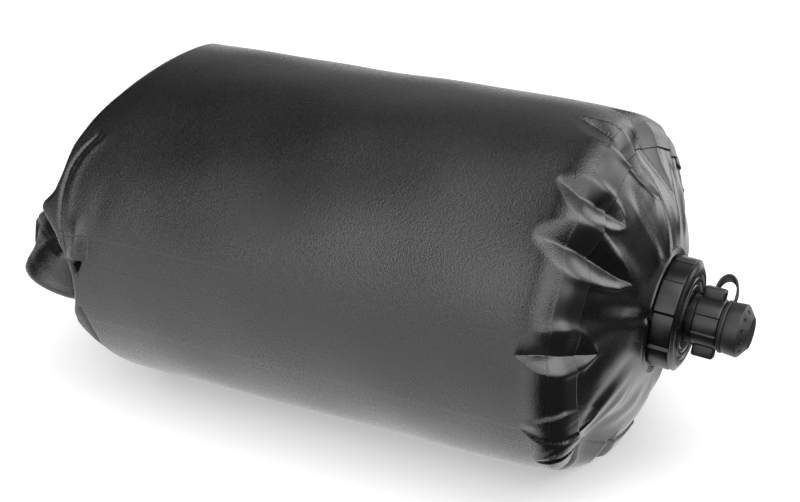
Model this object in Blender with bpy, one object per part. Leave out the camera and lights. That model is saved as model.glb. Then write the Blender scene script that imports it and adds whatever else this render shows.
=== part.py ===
# Collapsible water carrier: a roll-top fabric bag lying on its side, with a screw cap,
# a quarter-turn valve and a push-on shower rose at its round end.
# Metres, +Z up, +X towards the spout. Angles round the bag start at the near side (-Y)
# and rise through the top. The finished part stands on Z = 0 with its box centred.

import math

import bmesh
import bpy
import numpy as np
from mathutils import Matrix, Vector

# Bag tube
BAG_RADIUS = 0.098
TUBE_LENGTH = 0.247
FABRIC = 0.0010
LAYER_GAP = 0.0003
UNDERSIDE_FLAT = 0.0065
TUBE_RINGS = 4
ROUND_STEPS = 48

# Lengthwise weld of the tube
SEAM_EDGE_ANGLE = 10.9
SEAM_WIDTH = 0.016
SEAM_RISE = 0.0006
SEAM_STEP = 0.0004

# Shoulder, weld band and domed base panel
SHOULDER_RADIUS = 0.020
SHOULDER_TURN = 60.0
DOME_RADIUS = 0.200
BAND_START = 0.0112
BAND_WIDTH = 0.016
BAND_RAMP = 0.002
BASE_RIM_INSET = 0.0008
SHOULDER_SHARES = (1.0, 0.8, 0.6)
DOME_RINGS = 4

# Folded tail that leads to the rolled mouth
TAIL_REACH = 0.066
TAIL_SIDE_LAG = 0.028
TAIL_CORNER_POWER = 4
TAIL_TOP_HANDLE = 0.014
TAIL_SIDE_HANDLE = 0.009
MOUTH_TOP_HANDLE = 0.034
MOUTH_SIDE_REACH = 0.027
MOUTH_SIDE_SPREAD = 0.013
MOUTH_WIDTH_SHARE = 0.85
MOUTH_GAP = 0.001
MOUTH_LIP = 0.010
MOUTH_DROP = 0.004
MOUTH_TILT = 4.7
TAIL_RINGS = 7

# Rolled mouth, seen from above as a bowed run, two turns and two arms
ROLL_WIDTH = 0.034
ROLL_THICKNESS = 0.012
ROLL_TUCK_SHARE = 0.1837
ROLL_TUCK = BAG_RADIUS * ROLL_TUCK_SHARE
ROLL_LENGTH = math.pi * BAG_RADIUS - 2 * ROLL_TUCK
ROLL_BOW_SHARE = 0.6531
ROLL_BOW_RADIUS = BAG_RADIUS * ROLL_BOW_SHARE
ROLL_BOW_ANGLE = 51.4
ROLL_TURN_RADIUS = 0.014
ROLL_TURN_ANGLE = 201.4
ROLL_DROP = 0.016
ROLL_FALL_SHARE = 0.80
ROLL_LEAN = 22.0
ROLL_LEAN_SHARES = (0.25, 0.55, 0.85)
ROLL_SEGMENTS = (6, 9, 4)
ROLL_EDGE_STEPS = 4
STRIP_WIDTH = 0.025
STRIP_THICKNESS = 0.0020
STRIP_CLEARANCE = 0.0006
STRIP_END_SHARE = 0.15

# Side-release buckle and its webbing
BUCKLE_BACK = 0.003
BUCKLE_ROOM = 0.001
BUCKLE_WIDTH = 0.026
BUCKLE_THICKNESS = 0.0090
SOCKET_LENGTH = 0.028
PLUG_BASE_LENGTH = 0.0155
BUCKLE_WALL = 0.0018
BUCKLE_CLEARANCE = 0.0004
PRONG_LENGTH = 0.0165
PRONG_WIDTH = 0.0050
ARM_LENGTH = 0.0165
ARM_THICKNESS = 0.0022
ARM_HEAD_LENGTH = 0.0065
ARM_HEAD_REACH = 0.0016
WINDOW_LENGTH = 0.0085
BAR_THICKNESS = 0.0024
BAR_SLOT = 0.0048
BUCKLE_EDGE = 0.0009
WEBBING_WIDTH = 0.019
WEBBING_THICKNESS = 0.0014
WEBBING_GRIP = 0.007
WEBBING_STEPS = 6
WEBBING_TURN_STEPS = 3

# Spout: the axis starts inside the dome and droops a little towards the floor
SPOUT_DROOP = 3.4
SPOUT_ROOT = 0.0274
SPOUT_DROP = 0.0016
FLANGE_FACE = 0.0105
FLANGE_RADIUS = 0.0345
FLANGE_THICKNESS = 0.0020
FLANGE_BLEND_RADIUS = 0.060
PANEL_HOLE_RADIUS = 0.0245
NECK_BORE_RADIUS = 0.0160
NECK_RADIUS = 0.0200
THREAD_PITCH = 0.0040
THREAD_DEPTH = 0.0014
THREAD_ROOT_WIDTH = 0.0014
THREAD_CREST_WIDTH = 0.0007
THREAD_TURNS = 1.25
THREAD_STEPS = 36
THREAD_BED = 0.0006
RADIAL_STEPS = 32

# Screw cap
CAP_RADIUS = 0.0300
CAP_RECESS_RADIUS = 0.0285
CAP_FRONT_RADIUS = 0.0278
CAP_LENGTH = 0.0135
CAP_STANDOFF = 0.0010
CAP_BORE_RADIUS = 0.0220
CAP_FRONT_WALL = 0.0030
CAP_CHAMFER = 0.0016
CAP_HOLE_RADIUS = 0.0110
CAP_GRIPS = 5
CAP_GRIP_SHARE = 0.52
CAP_GRIP_ANGLE = 46.0
CAP_STEP_ANGLE = 1.5
CAP_GROOVE_RADIUS = 0.0215
CAP_GROOVE_WIDTH = 0.0018
CAP_GROOVE_DEPTH = 0.0008

# Sealing ring under the cap
GASKET_THICKNESS = 0.0016
GASKET_INNER_RADIUS = 0.0162
GASKET_OUTER_RADIUS = 0.0203
SEAT_GAP = 0.0003

# Valve seat, the fixed inner tube of the quarter-turn valve
SEAT_FLANGE_RADIUS = 0.0148
SEAT_FLANGE_THICKNESS = 0.0014
SEAT_RADIUS = 0.0107
SEAT_WALL = 0.0016
SEAT_LENGTH = 0.0172
SEAT_END_WALL = 0.0016
RING_GROOVE_WIDTH = 0.0015
RING_GROOVE_DEPTH = 0.0008
RING_SPACING = 0.0042
RING_SECTION = 0.00050
RING_SETBACK = 0.0040
RING_FIT = 0.00005
RING_SIDES = 6
RING_STEPS = 30
PORT_SWEEP = 78.0
PORT_INNER_RADIUS = 0.0025
PORT_OUTER_RADIUS = 0.0080
PORT_STEPS = 6
PORT_CLOSED_ANGLE = 90.0
DISC_THICKNESS = 0.0014
DISC_RADIUS = 0.0105

# Wing knob, the part of the valve that turns
KNOB_RADIUS = 0.0133
KNOB_FLUTE_DEPTH = 0.0009
KNOB_FLUTES = 8
KNOB_BORE_RADIUS = 0.0110
KNOB_FRONT_WALL = 0.0020
KNOB_THROAT_RADIUS = 0.0084
WING_LENGTH = 0.0116
WING_WIDTH = 0.0066
WING_HEIGHT = 0.0052
WING_SETBACK = 0.0036
WING_ANGLE = 104.0
WING_EDGE = 0.0012
SPIGOT_RADIUS = 0.0112
SPIGOT_LENGTH = 0.0070

# Shower rose
ROSE_REAR_RADIUS = 0.0133
ROSE_RIM_RADIUS = 0.0140
ROSE_LENGTH = 0.0085
ROSE_CROWN = 0.0030
ROSE_FACE_SHARE = 0.6
ROSE_BORE_RADIUS = 0.0116
ROSE_SLEEVE_WALL = 0.0007
ROSE_FACE_WALL = 0.0018
ROSE_SOCKET_DEPTH = 0.0062
ROSE_GAP = 0.0026
ROSE_HOLES = 12
ROSE_HOLE_CIRCLE = 0.0116
ROSE_HOLE_ANGLE = 15.0
ROSE_HOLE_RADIUS = 0.0007
ROSE_HOLE_STEPS = 6
ROSE_EDGE = 0.0008

# Tether strap between knob and rose
TETHER_WIDTH = 0.0070
TETHER_THICKNESS = 0.0013
TETHER_RING_LIP = 0.0005
TETHER_RING_SHARE = 0.55
TETHER_ANGLE = 145.0
TETHER_SETBACK = 0.0040
TETHER_RISE = 0.0148
TETHER_BACK_LEAN = -0.0030
TETHER_FRONT_LEAN = 0.0015
TETHER_STEPS = 12

CUT_OVERRUN = 0.0010
FINE_ROUND_STEPS = 12
SHARP_ANGLE = 35.0
BEVEL_ANGLE = 40.0

COLOURS = {
    "coated_fabric": ((0.035, 0.036, 0.038), 0.42),
    "shell_plastic": ((0.020, 0.020, 0.021), 0.38),
    "valve_plastic": ((0.026, 0.026, 0.027), 0.45),
    "seal_rubber": ((0.012, 0.012, 0.012), 0.70),
    "nylon_webbing": ((0.018, 0.018, 0.019), 0.80),
    "strip_plastic": ((0.060, 0.060, 0.062), 0.50),
}

FLOOR = UNDERSIDE_FLAT - BAG_RADIUS


# Small helpers

def clear_scene():
    for old in list(bpy.data.objects):
        bpy.data.objects.remove(old, do_unlink=True)


def material(name):
    found = bpy.data.materials.get(name)
    if found:
        return found
    made = bpy.data.materials.new(name)
    made.use_nodes = True
    shader = made.node_tree.nodes["Principled BSDF"]
    colour, roughness = COLOURS[name]
    shader.inputs["Base Color"].default_value = (*colour, 1)
    shader.inputs["Roughness"].default_value = roughness
    shader.inputs["Metallic"].default_value = 0
    return made


def make_object(name, vertices, faces, finish, parent=None):
    mesh = bpy.data.meshes.new(name)
    mesh.from_pydata([tuple(v) for v in vertices], [], faces)
    tool = bmesh.new()
    tool.from_mesh(mesh)
    bmesh.ops.recalc_face_normals(tool, faces=tool.faces)
    tool.to_mesh(mesh)
    tool.free()
    mesh.shade_smooth()
    mesh.set_sharp_from_angle(angle=math.radians(SHARP_ANGLE))
    made = bpy.data.objects.new(name, mesh)
    bpy.context.scene.collection.objects.link(made)
    mesh.materials.append(material(finish))
    if parent:
        made.parent = parent
    return made


def make_empty(name, location, rotation=None, parent=None):
    made = bpy.data.objects.new(name, None)
    bpy.context.scene.collection.objects.link(made)
    made.location = location
    if rotation:
        made.rotation_euler = rotation
    if parent:
        made.parent = parent
    return made


def cut(target, tool, operation="DIFFERENCE"):
    tool.hide_render = True
    tool.display_type = "WIRE"
    step = target.modifiers.new(operation.title(), "BOOLEAN")
    step.operation = operation
    step.solver = "EXACT"
    step.object = tool


def soften(target, width, segments=2):
    step = target.modifiers.new("Bevel", "BEVEL")
    step.width = width
    step.segments = segments
    step.limit_method = "ANGLE"
    step.angle_limit = math.radians(BEVEL_ANGLE)


def smooth(share):
    share = min(max(share, 0), 1)
    return share * share * (3 - 2 * share)


def fan_rows(rows, closed):
    # quads, cut along one fixed diagonal, between neighbouring rows of equal length
    faces = []
    for row, after in zip(rows[:-1], rows[1:]):
        count = len(row)
        for i in range(count if closed else count - 1):
            j = (i + 1) % count
            faces.append((row[i], row[j], after[j]))
            faces.append((row[i], after[j], after[i]))
    return faces


# Solids turned round the local X axis

def turned(name, outline, finish, parent, steps=RADIAL_STEPS, radius_of=None):
    # outline: (x, r) points; a point with r = 0 closes the solid on its axis
    angles = [2 * math.pi * i / steps for i in range(steps)]
    return turned_at(name, outline, angles, finish, parent, radius_of)


def turned_at(name, outline, angles, finish, parent, radius_of=None):
    vertices = []
    rows = []
    for index, (x, radius) in enumerate(outline):
        if radius == 0:
            rows.append([len(vertices)])
            vertices.append((x, 0, 0))
            continue
        row = []
        for angle in angles:
            r = radius_of(index, radius, angle) if radius_of else radius
            row.append(len(vertices))
            vertices.append((x, -r * math.cos(angle), r * math.sin(angle)))
        rows.append(row)
    on_axis = len(rows[0]) == 1
    pairs = list(zip(rows[:-1], rows[1:]))
    if not on_axis:
        pairs.append((rows[-1], rows[0]))
    faces = []
    for row, after in pairs:
        count = max(len(row), len(after))
        for i in range(count):
            j = (i + 1) % count
            if len(row) == 1:
                faces.append((row[0], after[j], after[i]))
            elif len(after) == 1:
                faces.append((row[i], row[j], after[0]))
            else:
                faces.append((row[i], row[j], after[j], after[i]))
    return make_object(name, vertices, faces, finish, parent)


def box_between(name, low, high, finish, parent):
    corners = [(x, y, z) for x in (low[0], high[0]) for y in (low[1], high[1]) for z in (low[2], high[2])]
    faces = [(0, 1, 3, 2), (4, 6, 7, 5), (0, 4, 5, 1), (2, 3, 7, 6), (0, 2, 6, 4), (1, 5, 7, 3)]
    return make_object(name, corners, faces, finish, parent)


def swept(name, sections, finish, parent=None, hole_sections=None):
    # sections: closed loops of points along a path; hole_sections run through them, open at both ends
    vertices = []
    rows = []
    for section in sections:
        rows.append(list(range(len(vertices), len(vertices) + len(section))))
        vertices.extend(section)
    faces = fan_rows(rows, True)
    if not hole_sections:
        faces.append(tuple(reversed(rows[0])))
        faces.append(tuple(rows[-1]))
        return make_object(name, vertices, faces, finish, parent)
    holes = []
    for section in hole_sections:
        holes.append(list(range(len(vertices), len(vertices) + len(section))))
        vertices.extend(section)
    faces += [tuple(reversed(face)) for face in fan_rows(holes, True)]
    for outer, inner in ((rows[0], holes[0]), (rows[-1], holes[-1])):
        faces += ring_faces(outer, inner)
    return make_object(name, vertices, faces, finish, parent)


def ring_faces(outer, inner):
    # both loops have the same number of points and start side by side
    faces = []
    count = len(outer)
    for i in range(count):
        j = (i + 1) % count
        faces.append((outer[i], outer[j], inner[j], inner[i]))
    return faces


# The bag, in bag coordinates: X = 0 where the straight tube ends and the shoulder starts

def bag_angles():
    # symmetric above and below the near side, with the two edges of the lengthwise weld
    seam_edge = math.radians(SEAM_EDGE_ANGLE)
    seam_foot = seam_edge - SEAM_WIDTH / BAG_RADIUS
    step = SEAM_STEP / BAG_RADIUS
    special = [seam_foot - step, seam_foot, seam_edge, seam_edge + step]
    even = [math.pi * i / (ROUND_STEPS // 2) for i in range(1, ROUND_STEPS // 2)]
    near = math.pi / ROUND_STEPS
    upper = [a for a in even if min(abs(a - s) for s in special) > near / 2] + special
    upper = sorted(upper)
    lower = [-a for a in reversed(upper)]
    return [0] + upper + [math.pi] + lower


def on_seam(angle):
    seam_edge = math.radians(SEAM_EDGE_ANGLE)
    seam_foot = seam_edge - SEAM_WIDTH / BAG_RADIUS
    slack = SEAM_STEP / BAG_RADIUS / 2
    return seam_foot - slack < angle < seam_edge + slack


def meridian(distance, lift):
    # point (x, r) at a distance along the shoulder and dome, lifted off the panel's outer face
    turn = math.radians(SHOULDER_TURN)
    arc = SHOULDER_RADIUS * turn
    if distance <= arc:
        angle = distance / SHOULDER_RADIUS
        x = SHOULDER_RADIUS * math.sin(angle)
        r = BAG_RADIUS - SHOULDER_RADIUS * (1 - math.cos(angle))
    else:
        angle = turn + (distance - arc) / DOME_RADIUS
        x = SHOULDER_RADIUS * math.sin(turn) + DOME_RADIUS * (math.sin(angle) - math.sin(turn))
        r = BAG_RADIUS - SHOULDER_RADIUS * (1 - math.cos(turn))
        r -= DOME_RADIUS * (math.cos(turn) - math.cos(angle))
    return x + lift * math.sin(angle), r + lift * math.cos(angle)


def distance_at_radius(radius):
    turn = math.radians(SHOULDER_TURN)
    arc_end = BAG_RADIUS - SHOULDER_RADIUS * (1 - math.cos(turn))
    angle = math.acos(math.cos(turn) - (arc_end - radius) / DOME_RADIUS)
    return SHOULDER_RADIUS * turn + DOME_RADIUS * (angle - turn)


def round_point(x, radius, angle, floor):
    return Vector((x, -radius * math.cos(angle), max(radius * math.sin(angle), floor)))


def tube_lift(distance):
    # the tube's end rises over the base panel's rim in the weld band
    return smooth((distance - BAND_START + BAND_RAMP) / BAND_RAMP) * (FABRIC + LAYER_GAP)


def mouth_point(angle):
    # where a lengthwise thread of the fabric reaches the closed mouth
    bow = ROLL_BOW_RADIUS - ROLL_THICKNESS / 2 - MOUTH_GAP
    centre_x = ROLL_BOW_RADIUS - ROLL_THICKNESS / 2 - TUBE_LENGTH - TAIL_REACH
    y = -bow * math.sin(math.radians(ROLL_BOW_ANGLE) * MOUTH_WIDTH_SHARE) * math.cos(angle)
    x = centre_x - math.sqrt(bow * bow - y * y)
    z = mouth_height(y) + MOUTH_LIP / 2 * math.sin(angle)
    return Vector((x, y, z))


def mouth_height(y):
    return y * math.tan(math.radians(MOUTH_TILT)) - MOUTH_DROP


def side_share(angle):
    # 1 at the sides, 0 at the top and bottom, with full corners between
    return 1 - abs(math.sin(angle)) ** TAIL_CORNER_POWER


def tail_point(angle, share):
    side = side_share(angle)
    top = 1 - side
    start = round_point(-TUBE_LENGTH - TAIL_SIDE_LAG * side, BAG_RADIUS, angle, FLOOR)
    end = mouth_point(angle)
    leave = start - Vector((TAIL_TOP_HANDLE * top + TAIL_SIDE_HANDLE * side, 0, 0))
    arrive = end + Vector((MOUTH_SIDE_REACH * abs(math.cos(angle)), -MOUTH_SIDE_SPREAD * math.cos(angle),
                           MOUTH_TOP_HANDLE * math.sin(angle)))
    rest = 1 - share
    return (start * rest ** 3 + leave * 3 * rest ** 2 * share
            + arrive * 3 * rest * share ** 2 + end * share ** 3)


def tube_grid(depth):
    # the tube from the cut edge in the weld band to the closed mouth, depth inside its outer face
    angles = bag_angles()
    turn = SHOULDER_RADIUS * math.radians(SHOULDER_TURN)
    end = BAND_START + BAND_WIDTH
    stops = [end, (end + turn) / 2]
    stops += [turn * share for share in SHOULDER_SHARES]
    stops += [BAND_START, BAND_START - BAND_RAMP, (BAND_START - BAND_RAMP) / 2, 0]
    grid = []
    for distance in stops:
        x, r = meridian(distance, tube_lift(distance) - depth)
        grid.append([round_point(x, r + seam_lift(a), a, FLOOR + depth) for a in angles])
    for step in range(1, TUBE_RINGS):
        share = step / TUBE_RINGS
        row = []
        for a in angles:
            x = -share * (TUBE_LENGTH + TAIL_SIDE_LAG * side_share(a))
            row.append(round_point(x, BAG_RADIUS - depth + seam_lift(a), a, FLOOR + depth))
        grid.append(row)
    tail = []
    for step in range(TAIL_RINGS + 1):
        share = step / TAIL_RINGS
        row = []
        for a in angles:
            outward = Vector((0, -math.cos(a), math.sin(a)))
            row.append(tail_point(a, share) + outward * seam_lift(a) * (1 - share))
        tail.append(row)
    return grid + (inward_copy(tail, depth) if depth else tail)


def seam_lift(angle):
    return SEAM_RISE if on_seam(angle) else 0


def inward_copy(grid, depth):
    # the same grid moved into the bag by one fabric thickness
    points = np.array([[tuple(p) for p in row] for row in grid])
    along = np.gradient(points, axis=0)
    round_step = np.roll(points, -1, axis=1) - np.roll(points, 1, axis=1)
    normal = np.cross(round_step, along)
    normal /= np.linalg.norm(normal, axis=2, keepdims=True)
    centre = points.mean(axis=1, keepdims=True)
    facing = np.sum(normal * (points - centre), axis=2).mean()
    inward = -np.sign(facing) * normal
    moved = points + depth * inward
    low = points[:, :, 2] <= FLOOR + depth / 2
    moved[:, :, 2] = np.where(low, FLOOR + depth, moved[:, :, 2])
    return [[Vector(p) for p in row] for row in moved]


def mouth_cap(row):
    # closes a flattened ring by joining each upper point to the one below it
    count = len(row)
    half = count // 2
    faces = [(row[0], row[1], row[count - 1])]
    for i in range(1, half - 1):
        faces.append((row[i], row[i + 1], row[count - i - 1]))
        faces.append((row[i], row[count - i - 1], row[count - i]))
    faces.append((row[half - 1], row[half], row[half + 1]))
    return faces


def shell(name, outer_grid, inner_grid, closed_end, parent):
    vertices = []
    outer_rows = []
    inner_rows = []
    for grid, rows in ((outer_grid, outer_rows), (inner_grid, inner_rows)):
        for row in grid:
            rows.append(list(range(len(vertices), len(vertices) + len(row))))
            vertices.extend(row)
    faces = fan_rows(outer_rows, True)
    faces += [tuple(reversed(face)) for face in fan_rows(inner_rows, True)]
    faces += ring_faces(outer_rows[0], inner_rows[0])
    if closed_end:
        faces += mouth_cap(outer_rows[-1])
        faces += [tuple(reversed(face)) for face in mouth_cap(inner_rows[-1])]
    else:
        faces += ring_faces(outer_rows[-1], inner_rows[-1])
    return make_object(name, vertices, faces, "coated_fabric", parent)


def body_panel(parent):
    return shell("body_panel", tube_grid(0), tube_grid(FABRIC), True, parent)


def base_point(distance, lift, angle):
    # dome point, turned with the spout's droop near the flange
    x, r = meridian(distance, lift)
    plain = round_point(x, r, angle, FLOOR + FABRIC + LAYER_GAP - lift)
    share = smooth((FLANGE_BLEND_RADIUS - r) / (FLANGE_BLEND_RADIUS - FLANGE_RADIUS))
    pivot = Vector((SPOUT_ROOT, 0, -SPOUT_DROP))
    tilt = Matrix.Rotation(math.radians(SPOUT_DROOP) * share, 3, "Y")
    flange_x, flange_r = meridian(distance_at_radius(FLANGE_RADIUS), 0)
    shift = Vector((SPOUT_ROOT + FLANGE_FACE - flange_x, 0, -SPOUT_DROP)) * share
    return pivot + tilt @ (plain + shift - pivot)


def base_grid(lift):
    angles = bag_angles()
    turn = SHOULDER_RADIUS * math.radians(SHOULDER_TURN)
    end = BAND_START + BAND_WIDTH
    start = BAND_START + BASE_RIM_INSET
    flange = distance_at_radius(FLANGE_RADIUS)
    stops = [start] + [turn * share for share in reversed(SHOULDER_SHARES)] + [(end + turn) / 2, end]
    stops += [end + (flange - end) * step / DOME_RINGS for step in range(1, DOME_RINGS + 1)]
    grid = [[base_point(distance, lift, a) for a in angles] for distance in stops]
    grid.append([flat_disc_point(PANEL_HOLE_RADIUS, lift, a) for a in angles])
    return list(reversed(grid))


def flat_disc_point(radius, lift, angle):
    pivot = Vector((SPOUT_ROOT, 0, -SPOUT_DROP))
    tilt = Matrix.Rotation(math.radians(SPOUT_DROOP), 3, "Y")
    local = Vector((FLANGE_FACE + lift, -radius * math.cos(angle), radius * math.sin(angle)))
    return pivot + tilt @ local


def base_panel(parent):
    return shell("base_panel", base_grid(0), base_grid(-FABRIC), False, parent)


# Rolled mouth and its stiffening strip

def roll_path():
    # stations along the roll from the near arm's end to the far arm's end: place, heading, width way
    bow = math.radians(ROLL_BOW_ANGLE)
    turn = math.radians(ROLL_TURN_ANGLE)
    arm = ROLL_LENGTH / 2 - ROLL_BOW_RADIUS * bow - ROLL_TURN_RADIUS * turn
    centre = Vector((ROLL_BOW_RADIUS - ROLL_THICKNESS / 2 - TUBE_LENGTH - TAIL_REACH, 0, 0))
    bow_steps, turn_steps, arm_steps = ROLL_SEGMENTS
    half = []
    for i in range(bow_steps):
        a = bow * i / bow_steps
        place = centre - ROLL_BOW_RADIUS * Vector((math.cos(a), math.sin(a), 0))
        half.append((place, 0))
    corner = centre - (ROLL_BOW_RADIUS + ROLL_TURN_RADIUS) * Vector((math.cos(bow), math.sin(bow), 0))
    for i in range(turn_steps + 1):
        b = bow - turn * i / turn_steps
        place = corner + ROLL_TURN_RADIUS * Vector((math.cos(b), math.sin(b), 0))
        half.append((place, ROLL_TURN_RADIUS * turn * i / turn_steps))
    last = bow - turn
    heading = Vector((math.sin(last), -math.cos(last), 0))
    start = half[-1][0]
    for i in range(1, arm_steps + 1):
        along = arm * i / arm_steps
        half.append((start + heading * along, ROLL_TURN_RADIUS * turn + along))
    reach = half[-1][1]
    near = []
    for place, run in half:
        near.append(roll_station(place, run / reach, -1))
    far = []
    for place, run in half[1:]:
        mirrored = Vector((place.x, -place.y, 0))
        far.append(roll_station(mirrored, run / reach, 1))
    return [near[i] for i in range(len(near) - 1, -1, -1)] + far


def roll_station(place, share, side):
    fall = smooth(share / ROLL_FALL_SHARE)
    height = mouth_height(place.y) * (1 - fall) - ROLL_DROP * fall
    first, most, last = ROLL_LEAN_SHARES
    lean = math.radians(ROLL_LEAN) * smooth((share - first) / (most - first))
    lean *= 1 - smooth((share - most) / (last - most))
    return Vector((place.x, place.y, height)), lean


def roll_sections(loop):
    stations = roll_path()
    places = [place for place, lean in stations]
    middle = sum(places, Vector()) / len(places)
    sections = []
    for i, (place, lean) in enumerate(stations):
        before = places[max(i - 1, 0)]
        after = places[min(i + 1, len(places) - 1)]
        heading = (after - before).normalized()
        up = Vector((0, 0, 1))
        up = (up - heading * up.dot(heading)).normalized()
        out = heading.cross(up).normalized()
        if out.dot(place - middle) < 0:
            out = -out
        wide = (up * math.cos(lean) - out * math.sin(lean)).normalized()
        across = (out * math.cos(lean) + up * math.sin(lean)).normalized()
        if heading.cross(wide).dot(across) < 0:
            across = -across
        sections.append([place + across * u + wide * v for u, v in loop])
    return sections


def stadium(width, thickness, steps):
    # rounded strip section: u across the thickness, v across the width
    radius = thickness / 2
    reach = width / 2 - radius
    loop = []
    for sign in (1, -1):
        for i in range(steps + 1):
            a = math.pi * i / steps
            loop.append((sign * radius * math.cos(a), sign * (reach + radius * math.sin(a))))
    return loop


def rolled_mouth(parent):
    outer = stadium(ROLL_WIDTH, ROLL_THICKNESS, ROLL_EDGE_STEPS)
    wide = STRIP_WIDTH + 2 * STRIP_CLEARANCE
    thick = STRIP_THICKNESS + 2 * STRIP_CLEARANCE
    slot = stadium(wide, thick, ROLL_EDGE_STEPS)
    return swept("rolled_mouth", roll_sections(outer), "coated_fabric", parent, roll_sections(slot))


def mouth_stiffener(parent):
    sections = roll_sections(stadium(STRIP_WIDTH, STRIP_THICKNESS, ROLL_EDGE_STEPS))
    for end, inner in ((0, 1), (-1, -2)):
        sections[end] = [a.lerp(b, STRIP_END_SHARE) for a, b in zip(sections[end], sections[inner])]
    return swept("mouth_stiffener", sections, "strip_plastic", parent)


# Side-release buckle: local X runs out of the socket's mouth, local Y is its width,
# local Z its thickness, and X = 0 is the mouth

def webbing_slot(name, outer_end, way, parent):
    # opening beside the bar that the webbing goes round
    near = outer_end - way * BAR_THICKNESS
    far = near - way * BAR_SLOT
    wide = WEBBING_WIDTH / 2 + BUCKLE_CLEARANCE
    deep = BUCKLE_THICKNESS / 2 + CUT_OVERRUN
    return box_between(name, (min(near, far), -wide, -deep), (max(near, far), wide, deep),
                      "shell_plastic", parent)


def buckle_socket(parent):
    half_width = BUCKLE_WIDTH / 2
    half_depth = BUCKLE_THICKNESS / 2
    body = box_between("buckle_socket", (-SOCKET_LENGTH, -half_width, -half_depth),
                      (0, half_width, half_depth), "shell_plastic", parent)
    soften(body, BUCKLE_EDGE)
    back = -SOCKET_LENGTH + BAR_THICKNESS + BAR_SLOT + BUCKLE_WALL
    inner_width = half_width - BUCKLE_WALL
    inner_depth = half_depth - BUCKLE_WALL
    hollow = box_between("socket_hollow", (back, -inner_width, -inner_depth),
                        (CUT_OVERRUN, inner_width, inner_depth), "shell_plastic", parent)
    cut(body, hollow)
    window_start = -ARM_LENGTH + BUCKLE_CLEARANCE * 2
    window_depth = inner_depth - BUCKLE_CLEARANCE / 2
    windows = box_between("socket_windows", (window_start, -half_width - CUT_OVERRUN, -window_depth),
                          (window_start + WINDOW_LENGTH, half_width + CUT_OVERRUN, window_depth),
                          "shell_plastic", parent)
    cut(body, windows)
    cut(body, webbing_slot("socket_slot", -SOCKET_LENGTH, -1, parent))
    return body


def buckle_plug(parent):
    half_width = BUCKLE_WIDTH / 2
    half_depth = BUCKLE_THICKNESS / 2 - BUCKLE_EDGE / 2
    start = BUCKLE_CLEARANCE
    end = start + PLUG_BASE_LENGTH
    body = box_between("buckle_plug", (start, -half_width, -half_depth), (end, half_width, half_depth),
                      "shell_plastic", parent)
    soften(body, BUCKLE_EDGE)
    reach = BUCKLE_THICKNESS / 2 - BUCKLE_WALL - BUCKLE_CLEARANCE
    prong = box_between("plug_prong", (-PRONG_LENGTH, -PRONG_WIDTH / 2, -reach),
                       (start + BUCKLE_EDGE * 2, PRONG_WIDTH / 2, reach), "shell_plastic", parent)
    cut(body, prong, "UNION")
    cut(body, webbing_slot("plug_slot", end, 1, parent))
    return body


def latch_arm(name, side, parent):
    # springy arm whose head catches the socket's window
    inner = PRONG_WIDTH / 2 + ARM_THICKNESS + BUCKLE_CLEARANCE
    outer = inner + ARM_THICKNESS
    wall = BUCKLE_WIDTH / 2 - BUCKLE_WALL
    tip = -ARM_LENGTH + BUCKLE_CLEARANCE * 4
    shoulder = tip + ARM_HEAD_LENGTH
    outline = [(0, inner), (0, outer), (shoulder, outer), (shoulder, wall + ARM_HEAD_REACH),
               (shoulder - ARM_THICKNESS, wall + ARM_HEAD_REACH), (tip, outer), (tip, inner)]
    deep = BUCKLE_THICKNESS / 2 - BUCKLE_WALL - BUCKLE_CLEARANCE
    loops = [[Vector((x, side * y, z)) for x, y in outline] for z in (-deep, deep)]
    return swept(name, loops, "shell_plastic", parent)


def webbing_tab(name, bar_end, way, bar_half, roll_end, roll_heading, parent):
    # flat webbing that grips the roll's end on both faces and goes round the buckle's bar;
    # the path is drawn in the buckle's own X and Z
    leg_bar = bar_half + LAYER_GAP + WEBBING_THICKNESS / 2
    leg_roll = ROLL_THICKNESS / 2 + LAYER_GAP + WEBBING_THICKNESS / 2
    start = Vector((bar_end, 0))
    handle = (roll_end - start).length / 2
    leave = start + Vector((way * handle, 0))
    arrive = roll_end - roll_heading * handle
    middle = []
    for i in range(WEBBING_STEPS + 1):
        t = i / WEBBING_STEPS
        s = 1 - t
        place = start * s ** 3 + leave * 3 * s * s * t + arrive * 3 * s * t * t + roll_end * t ** 3
        slope = (leave - start) * s * s + (arrive - leave) * 2 * s * t + (roll_end - arrive) * t * t
        side = Vector((-slope.y, slope.x)).normalized()
        middle.append((place, side, leg_bar + (leg_roll - leg_bar) * smooth(t)))
    last_side = middle[-1][1]
    middle.append((roll_end + roll_heading * WEBBING_GRIP, last_side, leg_roll))
    slot = bar_end - way * (BAR_THICKNESS + BAR_SLOT / 2)
    turn = WEBBING_THICKNESS
    round_bar = []
    for corner in (1, -1):
        for i in range(WEBBING_TURN_STEPS + 1):
            share = i / WEBBING_TURN_STEPS
            a = math.pi / 2 * (share if corner > 0 else 1 - share)
            x = slot + way * turn * (1 - math.sin(a))
            round_bar.append(Vector((x, corner * (leg_bar - turn * (1 - math.cos(a))))))
    upper = [place + side * way * reach for place, side, reach in middle]
    lower = [place - side * way * reach for place, side, reach in middle]
    path = list(reversed(upper)) + round_bar + lower
    loops = []
    for i, place in enumerate(path):
        before = path[max(i - 1, 0)]
        after = path[min(i + 1, len(path) - 1)]
        along = (after - before).normalized()
        across = Vector((-along.y, along.x)) * WEBBING_THICKNESS / 2
        corners = []
        for sign, wide in ((1, 1), (1, -1), (-1, -1), (-1, 1)):
            spot = place + across * sign
            corners.append(Vector((spot.x, wide * WEBBING_WIDTH / 2, spot.y)))
        loops.append(corners)
    return swept(name, loops, "nylon_webbing", parent)


# Spout, in spout coordinates: X along the drooping axis, X = 0 at its root inside the dome

def cap_rear():
    return FLANGE_FACE + CAP_STANDOFF


def cap_front():
    return cap_rear() + CAP_LENGTH


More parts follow.
